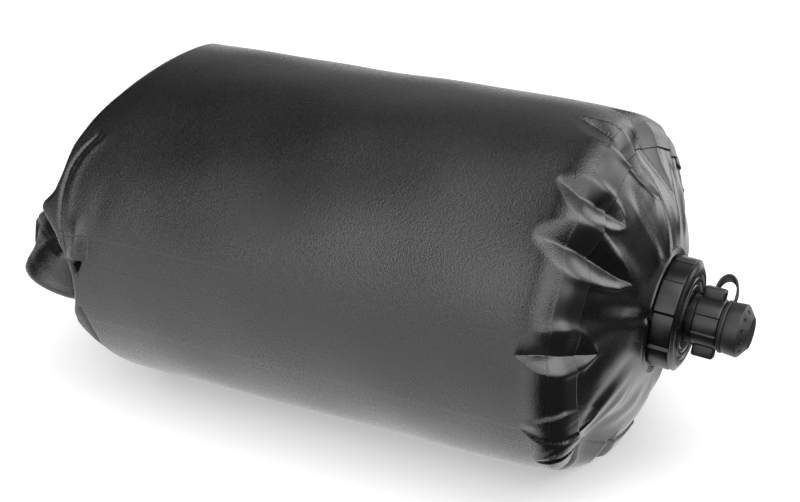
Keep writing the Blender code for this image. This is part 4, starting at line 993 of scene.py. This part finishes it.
knob = {
    "rear": 0.0253,
    "front": 0.0415,
    "shelf": 0.0395,
    "tip": 0.0485,
    "groove": 0.04590,
    "grooveHalf": 0.00075,
    "radius": 0.0136,
    "skirtBore": 0.0110,
    "spigotRadius": 0.0112,
    "spigotBore": 0.0084,
    "grooveRadius": 0.0104,
    "panelDepth": 0.0010,
    # sunk panels round the knob: where each ends and starts (degrees)
    "panels": ((39, -4), (-33, -62), (129, 118), (172, 143), (219, 176), (262, 230), (300, 272)),
}


def knobPanelShare(angle):
    for high, low in knob["panels"]:
        away = abs(wrapped(math.degrees(angle) - (high + low) / 2))
        share = eased(((high - low) / 2 - away) / 2.4 + 0.5)
        if share > 0:
            return share
    return 0.0


def knobPiece():
    rear, front, full, spigot = knob["rear"], knob["front"], knob["radius"], knob["spigotRadius"]
    shelf, tip, skirt, bore = knob["shelf"], knob["tip"], knob["skirtBore"], knob["spigotBore"]
    before, after, deep = knob["groove"] - knob["grooveHalf"], knob["groove"] + knob["grooveHalf"], knob["grooveRadius"]
    points = [(rear, skirt), (shelf, skirt), (shelf, bore), (tip, bore), (tip, spigot),
              (after, spigot), (after, deep), (before, deep), (before, spigot),
              (front, spigot), (front, full - 0.0005), (front - 0.0008, full), (rear + 0.0034, full),
              (rear + 0.0030, full - 0.0009), (rear, full - 0.0009)]
    roundings = [0.0003, 0, 0, 0.0002, 0.0003, 0.0001, 0.0001, 0.0001, 0.0001, 0.0002, 0.0003, 0.0005, 0.0003,
                 0.0002, 0.0003]
    sunk = {10: 0.7, 11: 1, 12: 1}               # how far the panels sink each of these outline points

    def radiusOf(index, r, angle):
        return r - knob["panelDepth"] * sunk[index] * knobPanelShare(angle) if index in sunk else r

    turnedPiece("valveKnob", points, roundings, valvePlastic, "knob", "wing_knob", 360, radiusOf)


knobPiece()


def roundedBlock(name, low, high, edge, segments, material):
    corners = [(x, y, z) for x in (low[0], high[0]) for y in (low[1], high[1]) for z in (low[2], high[2])]
    tool = bmesh.new()
    spots = [tool.verts.new(c) for c in corners]
    for face in ((0, 1, 3, 2), (4, 6, 7, 5), (0, 4, 5, 1), (2, 3, 7, 6), (0, 2, 6, 4), (1, 5, 7, 3)):
        tool.faces.new([spots[i] for i in face])
    bmesh.ops.bevel(tool, geom=tool.edges[:], offset=edge, segments=segments, profile=0.5, affect="EDGES")
    bmesh.ops.recalc_face_normals(tool, faces=tool.faces)
    return toolPiece(name, tool, material, 45)


wings = {"start": 0.0289, "length": 0.0116, "width": 0.0066, "foot": 0.0116, "reach": 0.0185, "angle": 104.0,
         "edge": 0.0013}


def wingPieces():
    for name, angle in (("upperWing", wings["angle"]), ("lowerWing", wings["angle"] + 180)):
        low = (wings["start"], -wings["width"] / 2, wings["foot"])
        high = (wings["start"] + wings["length"], wings["width"] / 2, wings["reach"])
        piece = roundedBlock(name, low, high, wings["edge"], 5, valvePlastic)
        piece.data.transform(spoutMatrix(math.radians(angle)))
        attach(piece, "knob")


wingPieces()


rose = {
    "rear": 0.0418,
    "shoulder": 0.0444,
    "rim": 0.0521,
    "crown": 0.0568,
    "rearRadius": 0.0133,
    "rimRadius": 0.0140,
    "faceRadius": 0.0080,
    "sleeveRadius": 0.0123,
    "boreRadius": 0.0116,
    "lip": 0.0005,
    "holes": 12,
    "holeCircle": 0.0116,
    "holeRadius": 0.0010,
    "holeAngle": 26.0,
    "holeSides": 16,
}


def rosePiece():
    rear, shoulder, rim, crown = rose["rear"], rose["shoulder"], rose["rim"], rose["crown"]
    sleeve, bore, outer, lip = rose["sleeveRadius"], rose["boreRadius"], rose["rearRadius"], rear + rose["lip"]
    points = [(crown - 0.0016, 0), (crown - 0.0018, 0.0045), (rim + 0.0010, 0.0105), (rim - 0.0008, 0.0122),
              (0.0480, 0.0122), (0.0480, bore), (rear, bore),
              (rear, 0.0128), (lip, 0.0128), (lip, sleeve), (shoulder, sleeve),
              (shoulder, outer), (shoulder + 0.0022, outer + 0.0003), (rim, rose["rimRadius"]),
              (crown - 0.0001, rose["faceRadius"]), (crown, 0)]
    roundings = [0, 0.0004, 0, 0, 0, 0, 0.0002, 0.0002, 0.0001, 0, 0, 0.0005, 0.0004, 0.0006, 0.0005, 0]
    piece = turnedPiece("showerRose", points, roundings, rosePlastic, "rose", "rose_cap",
                        closed=False, sharpAngle=50)
    cutter = holeCutter()
    step = piece.modifiers.new("holes", "BOOLEAN")
    step.operation = "DIFFERENCE"
    step.solver = "EXACT"
    step.object = cutter
    shaped = bpy.data.meshes.new_from_object(piece.evaluated_get(bpy.context.evaluated_depsgraph_get()))
    piece.modifiers.clear()
    piece.data = shaped
    shaped.set_sharp_from_angle(angle=math.radians(50))
    bpy.data.objects.remove(cutter, do_unlink=True)


def holeCutter():
    vertices, faces = [], []
    sides, circle, radius = rose["holeSides"], rose["holeCircle"], rose["holeRadius"]
    for hole in range(rose["holes"]):
        centre = 2 * math.pi * hole / rose["holes"] + math.radians(rose["holeAngle"])
        rows = []
        for x in (rose["rim"] - 0.0012, rose["crown"] + 0.002):
            rows.append(list(range(len(vertices), len(vertices) + sides)))
            for i in range(sides):
                a = 2 * math.pi * i / sides
                y = -circle * math.cos(centre) + radius * math.cos(a)
                z = circle * math.sin(centre) + radius * math.sin(a)
                vertices.append(spout["origin"] + axisX * x + axisY * y + axisZ * z)
        faces += ringFaces(rows) + [tuple(reversed(rows[0])), tuple(rows[1])]
    return facesOut(meshPiece("holeCutter", vertices, faces, rosePlastic))


rosePiece()


def ribbonPiece(name, path, side, widths, thickness, material, corner=0.35):
    # flat strap with softly rounded edges along a path; side is the direction of its width
    loop = []
    for k in range(16):
        a = 2 * math.pi * k / 16
        loop.append([math.copysign(abs(part) ** corner, part) for part in (math.cos(a), math.sin(a))])
    points = []
    for i, place in enumerate(path):
        heading = (path[min(i + 1, len(path) - 1)] - path[max(i - 1, 0)]).normalized()
        normal = heading.cross(side).normalized()
        points += [place + side * (c * widths[i] / 2) + normal * (s * thickness / 2) for c, s in loop]
    faces = gridFaces(len(path), len(loop))
    faces.append(tuple(range(len(loop))))
    faces.append(tuple(reversed(range(len(points) - len(loop), len(points)))))
    return facesOut(meshPiece(name, points, faces, material, 55))


tether = {
    "width": 0.0070,
    "thickness": 0.0013,
    "ringShare": 0.55,                           # of its width, where it meets the ring
    "angle": math.radians(145.0),
    "foot": 0.0293,
    "knobRadius": 0.0133,                        # of the knob's sunk part, under the strap
    "clearance": 0.0003,
    "rise": 0.0148,
    "leaveLean": 0.0030,
    "arriveLean": 0.0015,
    "steps": 56,
    "ringInner": 0.01245,
    "ringOuter": 0.0138,
    "ringEdge": 0.0003,
    "ringGap": 0.00015,
    "ringSteps": 96,
    "studRadius": 0.0022,
    "studNeck": 0.0018,
    "studHeight": 0.0010,
    "studSteps": 40,
}


def tetherPiece():
    rear = rose["rear"] + rose["lip"] + tether["ringGap"]
    front = rose["shoulder"] - tether["ringGap"]
    inner, outer, edge = tether["ringInner"], tether["ringOuter"], tether["ringEdge"]
    seat = tether["knobRadius"] + tether["clearance"] + tether["thickness"] / 2
    foot, width, pad = tether["foot"], tether["width"], tether["width"] / 2

    start = Vector((foot + pad, seat))
    end = Vector(((rear + front) / 2, (inner + outer) / 2))
    lift = (tether["knobRadius"] + tether["rise"] - (seat + end.y) / 8) * 4 / 3
    leave = Vector((start.x - tether["leaveLean"], lift))
    arrive = Vector((end.x + tether["arriveLean"], lift))
    flat = [Vector((foot - pad, seat)), Vector((foot, seat))]
    flat += [curveAt(start, leave, arrive, end, i / tether["steps"]) for i in range(tether["steps"] + 1)]
    outward = outwardAt(tether["angle"])
    path = [spout["origin"] + axisX * p.x + outward * p.y for p in flat]
    widths = [width * (1 - (1 - tether["ringShare"]) * eased(2 * i / len(path) - 1)) for i in range(len(path))]
    side = outward.cross(axisX).normalized()
    strap = ribbonPiece("tetherStrap", path, side, widths, tether["thickness"], strapRubber)

    steps = tether["ringSteps"]
    profile = [(rear, inner), (rear, outer - edge), (rear + edge, outer), (front - edge, outer),
               (front, outer - edge), (front, inner)]
    points = [onSpout(x, r, 2 * math.pi * k / steps) for x, r in profile for k in range(steps)]
    rows = [list(range(i * steps, (i + 1) * steps)) for i in range(len(profile))]
    ring = facesOut(meshPiece("tetherRing", points, ringFaces(rows, True), strapRubber, 50))
    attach(ring, "rose")
    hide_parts("tether_strap")
    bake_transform(strap)
    studPiece(seat)


def studPiece(seat):
    # the stud that holds the strap's pad on the knob
    top, neck, radius = seat + 0.0007, tether["studNeck"], tether["studRadius"]
    profile = [(0.0120, 0), (0.0120, neck), (top, neck), (top, radius), (top + 0.0005, radius),
               (top + tether["studHeight"], radius * 0.6), (top + tether["studHeight"], 0)]
    turn = spoutMatrix(tether["angle"])
    points, rows = [], []
    for z, r in profile:
        first = len(points)
        for k in range(tether["studSteps"] if r else 1):
            a = 2 * math.pi * k / tether["studSteps"]
            points.append(turn @ Vector((tether["foot"] + r * math.cos(a), r * math.sin(a), z)))
        rows.append(list(range(first, len(points))))
    button = facesOut(meshPiece("tetherStud", points, ringFaces(rows), valvePlastic, 50))
    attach(button, "knob")


tetherPiece()
print("water carrier: cap, valve and rose fitted")


def finishNode(name, material, bevel=0.0):
    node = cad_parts[name]
    node.data.materials.clear()
    node.data.materials.append(material)
    if bevel:
        step = node.modifiers.new("edge", "BEVEL")
        step.width = bevel
        step.segments = 3
        step.limit_method = "ANGLE"
        step.angle_limit = math.radians(38)
        step.harden_normals = True


for nodeName in ("buckle_socket", "buckle_plug"):
    finishNode(nodeName, bucklePlastic, 0.00035)
for nodeName in ("spout_flange", "valve_seat", "valve_disc"):
    finishNode(nodeName, valvePlastic)
for nodeName in ("flange_gasket", "valve_o_ring_rear", "valve_o_ring_front", "rose_o_ring"):
    finishNode(nodeName, sealRubber)


buckle = {
    "origin": Vector((-0.204623, 0.006332, 0.0755)),
    "socketLength": 0.028,
    "socketBarHalf": 0.0045,
    "plugBase": 0.0155,
    "plugBarHalf": 0.0045 - 0.00045,
    "clearance": 0.0004,
    "barThickness": 0.0024,
    "barSlot": 0.0048,
    "webbingWidth": 0.019,
    "webbingThickness": 0.0014,
    "webbingGap": 0.0003,
    "webbingSteps": 20,
    "grip": 0.007,
}


def onBuckle(x, y, z):
    # buckle x runs along the row's +Y, its width along +Z and its thickness along +X
    return buckle["origin"] + Vector((z, x, y))


latchArm = {
    "inner": 0.0051,
    "outer": 0.0073,
    "head": 0.0128,
    "tip": -0.01493,
    "shoulder": -0.00843,
    "thickness": 0.0046,
    "edge": 0.0005,
    "squeezed": 0.86,
}


def latchArmPiece(name, node, side):
    # springy arm, bent out to a head that catches the socket's window, with a finger rib on the head
    inner, outer, head = latchArm["inner"], latchArm["outer"], latchArm["head"]
    tip, shoulder = latchArm["tip"], latchArm["shoulder"]
    outline = [(0, inner), (0, outer), (shoulder * 0.55, outer - 0.0002), (shoulder, outer + 0.0002),
               (shoulder + 0.0001, head - 0.0004), (shoulder - 0.0010, head), (shoulder - 0.0024, head - 0.0003),
               (tip + 0.0018, outer + 0.0022), (tip, outer - 0.0002), (tip, inner), (shoulder * 0.6, inner + 0.0002)]
    half = latchArm["thickness"] / 2
    tool = bmesh.new()
    rows = [[tool.verts.new(onBuckle(x, side * y, z)) for x, y in outline] for z in (-half, half)]
    tool.faces.new(rows[0])
    tool.faces.new(list(reversed(rows[1])))
    for i in range(len(outline)):
        j = (i + 1) % len(outline)
        tool.faces.new((rows[0][i], rows[1][i], rows[1][j], rows[0][j]))
    bmesh.ops.recalc_face_normals(tool, faces=tool.faces)
    rim = [edge for edge in tool.edges if len({v in rows[0] for v in edge.verts}) == 1]
    bmesh.ops.bevel(tool, geom=rim, offset=latchArm["edge"], segments=3, profile=0.5, affect="EDGES")
    piece = toolPiece(name, tool, bucklePlastic, 40)
    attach(piece, "plug")
    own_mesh(piece)
    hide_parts(node)


latchArmPiece("upperLatchArm", "latch_arm_upper", 1)
latchArmPiece("lowerLatchArm", "latch_arm_lower", -1)


def webbingPiece(name, node, barEnd, way, barHalf, rollEnd, rollHeading):
    # round the buckle's bar and back along both faces of the roll
    thick = buckle["webbingThickness"]
    legBar = barHalf + buckle["webbingGap"] + thick / 2
    legRoll = roll["thickness"] / 2 + buckle["webbingGap"] + thick / 2
    start = Vector((barEnd, 0))
    handle = (rollEnd - start).length / 2
    leave = start + Vector((way * handle, 0))
    arrive = rollEnd - rollHeading * handle
    middle = []
    for i in range(buckle["webbingSteps"] + 1):
        t = i / buckle["webbingSteps"]
        rest = 1 - t
        slope = (leave - start) * rest * rest + (arrive - leave) * 2 * rest * t + (rollEnd - arrive) * t * t
        side = Vector((-slope.y, slope.x)).normalized()
        middle.append((curveAt(start, leave, arrive, rollEnd, t), side, legBar + (legRoll - legBar) * eased(t)))
    for share in (0.33, 0.66, 1.0):
        middle.append((rollEnd + rollHeading * buckle["grip"] * share, side, legRoll))
    slot = barEnd - way * (buckle["barThickness"] + buckle["barSlot"] / 2)
    bend = []
    for corner in (1, -1):
        for i in range(8):
            a = math.pi / 2 * (i / 7 if corner > 0 else 1 - i / 7)
            off = corner * (legBar - thick * (1 - math.cos(a)))
            bend.append(Vector((slot + way * thick * (1 - math.sin(a)), off)))
    upper = [place + side * way * reach for place, side, reach in middle]
    lower = [place - side * way * reach for place, side, reach in middle]
    path = [onBuckle(p.x, 0, p.y) for p in upper[::-1] + bend + lower]
    widths = [buckle["webbingWidth"]] * len(path)
    piece = ribbonPiece(name, path, Vector((0, 0, 1)), widths, thick, webbingNylon, 0.3)
    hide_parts(node)
    return piece, path


def leanWebbing(piece):
    centre = Vector(bag["centre"])
    for vertex in piece.data.vertices:
        p = vertex.co - centre
        back = 0.003 * (1 - eased((-p.y - 0.030) / 0.012))
        leanNearEnd(p)
        p.x -= back
        vertex.co = p + centre


def webbingPieces():
    stations = rollStations(6, 9, 4)
    nearEndAt = stations[0][0]
    heading = (stations[1][0] - nearEndAt).normalized()
    mouthY = (buckle["socketLength"] - buckle["plugBase"] - buckle["clearance"]) / 2
    depth = nearEndAt.x - (buckle["origin"].x - bag["centre"][0])
    plugEnd = buckle["clearance"] + buckle["plugBase"]
    for name, node, barEnd, way, barHalf in (
            ("nearWebbing", "near_webbing_tab", -buckle["socketLength"], -1, buckle["socketBarHalf"]),
            ("farWebbing", "far_webbing_tab", plugEnd, 1, buckle["plugBarHalf"])):
        rollEnd = Vector((way * abs(nearEndAt.y) - mouthY, depth))
        rollHeading = Vector((way * abs(heading.y), heading.x)).normalized()
        piece, path = webbingPiece(name, node, barEnd, way, barHalf, rollEnd, rollHeading)
        if name == "nearWebbing":
            leanWebbing(piece)
            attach(piece, "bag")
        else:
            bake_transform(piece)


webbingPieces()
print("water carrier: buckle and webbing done")


studio = {
    "camera": (0.36302, -0.69222, 0.4444),
    "right": (0.8928, 0.4503, 0.0),
    "up": (-0.1865, 0.3697, 0.9103),
    "forward": (-0.4099, 0.8127, -0.4141),
    "lens": 68.76,
    "floorSize": 30.0,
    "floorGlow": 0.34,                      # lifts the floor to paper white, its shadow stays
    "paintedSheetGlow": 1.3,                      # painted glow of the white sheet, seen only by the glossy skin
    # painted shade: the level the sheet's painted glow falls to at the right end and behind the bag
    "paintedSheetShade": 0.04,
    # painted shade: in the skin's reflections the floor is dim in a wedge from the dome towards the right front: its
    # corner, heading, edges (cosines)
    "wedgeCorner": (0.13, -0.05, 0.0),
    "wedgeHeading": (0.814, -0.581, 0.0),
    "wedgeEdge": (0.43, 0.57),
    "sheetEnd": (0.27, 0.40),
    "sheetBack": (0.05, 0.12),
    "sheetAgain": (0.24, 0.36),
    "diffuseSky": 0.95,
    "dimRoom": 0.022,
    "backGlow": 0.36,
    "backEdge": (0.35, 0.75),
    # softboxes that the skin mirrors: direction, full inside and gone outside (degrees), brightness, lower edge
    "softboxes": (((0.10, -0.97, 0.15), 20, 44, 2.5, -0.5), ((0.50, -0.10, 0.80), 16, 50, 2.3, -0.5),
                  ((0.90, -0.08, 0.38), 20, 46, 2.0, 0.04),
                  ((0.99, 0.0, 0.04), 8, 22, 2.2, -0.5), ((0.45, 0.86, 0.25), 12, 26, 2.8, -0.5)),
    "lowerFade": 0.10,
    # lights: name, place, target, width and height (m), power (W), seen only as a reflection
    "lights": (("overheadCard", (0.03, -0.50, 1.30), (0.03, -0.50, 0.08), (0.72, 1.4), 3.6, True),
               ("frontCard", (-0.16, -0.70, 0.64), (0.07, -0.085, 0.14), (0.50, 0.66), 0.82, True),
               ("frontCardNear", (-0.10, -0.70, 0.64), (0.07, -0.085, 0.14), (0.34, 0.66), 0.52, True),
               ("keyBox", (0.5, -0.1, 1.3), (0.0, 0, 0.08), (0.9, 0.9), 4.0, False)),
}


def cameraPiece():
    camera = bpy.data.cameras.new("photoCamera")
    camera.sensor_width = 36.0
    camera.lens = studio["lens"]
    camera.clip_start = 0.01
    piece = linkPiece("photoCamera", camera)
    turn = Matrix((studio["right"], studio["up"], -Vector(studio["forward"]))).transposed().to_4x4()
    turn.translation = studio["camera"]
    piece.matrix_world = turn
    scene.camera = piece


def floorPiece():
    half = studio["floorSize"] / 2
    corners = [(-half, -half, 0), (half, -half, 0), (half, half, 0), (-half, half, 0)]
    material, tree, shader = newMaterial("paleFloor")
    fillSockets(tree, shader, {"Base Color": (0.80, 0.80, 0.80, 1), "Roughness": 0.9, "Specular IOR Level": 0.1})
    paper = shader.outputs["BSDF"]
    glow = addNode(tree, "Emission", {"Strength": studio["floorGlow"]}).outputs["Emission"]
    lit = addNode(tree, "AddShader", {0: paper, 1: glow}).outputs["Shader"]
    # painted reflection: the sheet glows for glossy rays only, with painted shade in the wedge, at the right end and in
    # a strip behind the bag
    place = addNode(tree, "TexCoord").outputs["Object"]
    split = addNode(tree, "SeparateXYZ", {"Vector": place}).outputs
    heading = vectorNode(tree, "NORMALIZE", vectorNode(tree, "SUBTRACT", place, studio["wedgeCorner"]))
    lean = vectorNode(tree, "DOT_PRODUCT", heading, studio["wedgeHeading"])
    shine = rangeNode(tree, lean, studio["paintedSheetGlow"], studio["dimRoom"], *studio["wedgeEdge"], "SMOOTHSTEP")
    end = rangeNode(tree, split["X"], 1.0, studio["paintedSheetShade"], *studio["sheetEnd"], "SMOOTHSTEP")
    back = rangeNode(tree, split["Y"], 1.0, studio["paintedSheetShade"], *studio["sheetBack"])
    again = rangeNode(tree, split["Y"], 0.0, 1.0, *studio["sheetAgain"])
    strength = mathNode(tree, "MULTIPLY", mathNode(tree, "MULTIPLY", shine, end),
                        mathNode(tree, "MAXIMUM", back, again))
    # the sheet's painted glow, which only reflections see
    sheet = addNode(tree, "Emission", {"Strength": strength}).outputs["Emission"]
    rays = addNode(tree, "LightPath").outputs
    seen = mathNode(tree, "MAXIMUM", rays["Is Camera Ray"], rays["Is Transmission Ray"])
    plain = mixShader(tree, seen, paper, lit)
    mirrored = mixShader(tree, rays["Is Glossy Ray"], plain, sheet)
    fillSockets(tree, tree.nodes["Material Output"], {"Surface": mirrored})
    piece = meshPiece("paleFloor", corners, [(0, 1, 2, 3)], material)


def skyAround():
    # white to the camera, even to the cloth's own colour, softboxes in a dim room to its shine
    world = bpy.data.worlds.new("paleStudio")
    scene.world = world
    world.use_nodes = True
    tree = world.node_tree
    tree.nodes.clear()
    place = addNode(tree, "TexCoord").outputs["Generated"]
    split = addNode(tree, "SeparateXYZ", {"Vector": place}).outputs
    dim = studio["dimRoom"]
    total = rangeNode(tree, split["Y"], dim, dim + studio["backGlow"], *studio["backEdge"], "SMOOTHSTEP")
    for direction, full, gone, level, foot in studio["softboxes"]:
        aim = vectorNode(tree, "DOT_PRODUCT", place, tuple(Vector(direction).normalized()))
        edges = [math.cos(math.radians(angle)) for angle in (gone, full)]
        lobe = rangeNode(tree, aim, 0, level, *edges, "SMOOTHSTEP")
        cut = rangeNode(tree, split["Z"], 0, 1, foot, foot + studio["lowerFade"])
        total = mathNode(tree, "MULTIPLY_ADD", lobe, cut, total)
    white = (1, 1, 1, 1)
    mirrored, plain, bright = [
        addNode(tree, "Background", {"Color": white, "Strength": strength}).outputs["Background"]
        for strength in (total, studio["diffuseSky"], 1.0)]
    rays = addNode(tree, "LightPath").outputs
    unseen = mixShader(tree, rays["Is Glossy Ray"], plain, mirrored)
    addNode(tree, "OutputWorld", {"Surface": mixShader(tree, rays["Is Camera Ray"], unseen, bright)})


def softBox(name, place, target, size, power, mirrored):
    light = bpy.data.lights.new(name, "AREA")
    light.shape = "RECTANGLE"
    light.size, light.size_y = size
    light.energy = power
    light.specular_factor = 1.0 if mirrored else 0.0
    light.diffuse_factor = 0.0 if mirrored else 1.0
    piece = linkPiece(name, light)
    piece.location = place
    piece.rotation_euler = (Vector(target) - Vector(place)).to_track_quat("-Z", "Y").to_euler()


cameraPiece()
floorPiece()
skyAround()
for values in studio["lights"]:
    softBox(*values)
scene.view_settings.view_transform = "Standard"
print("water carrier: studio lit")
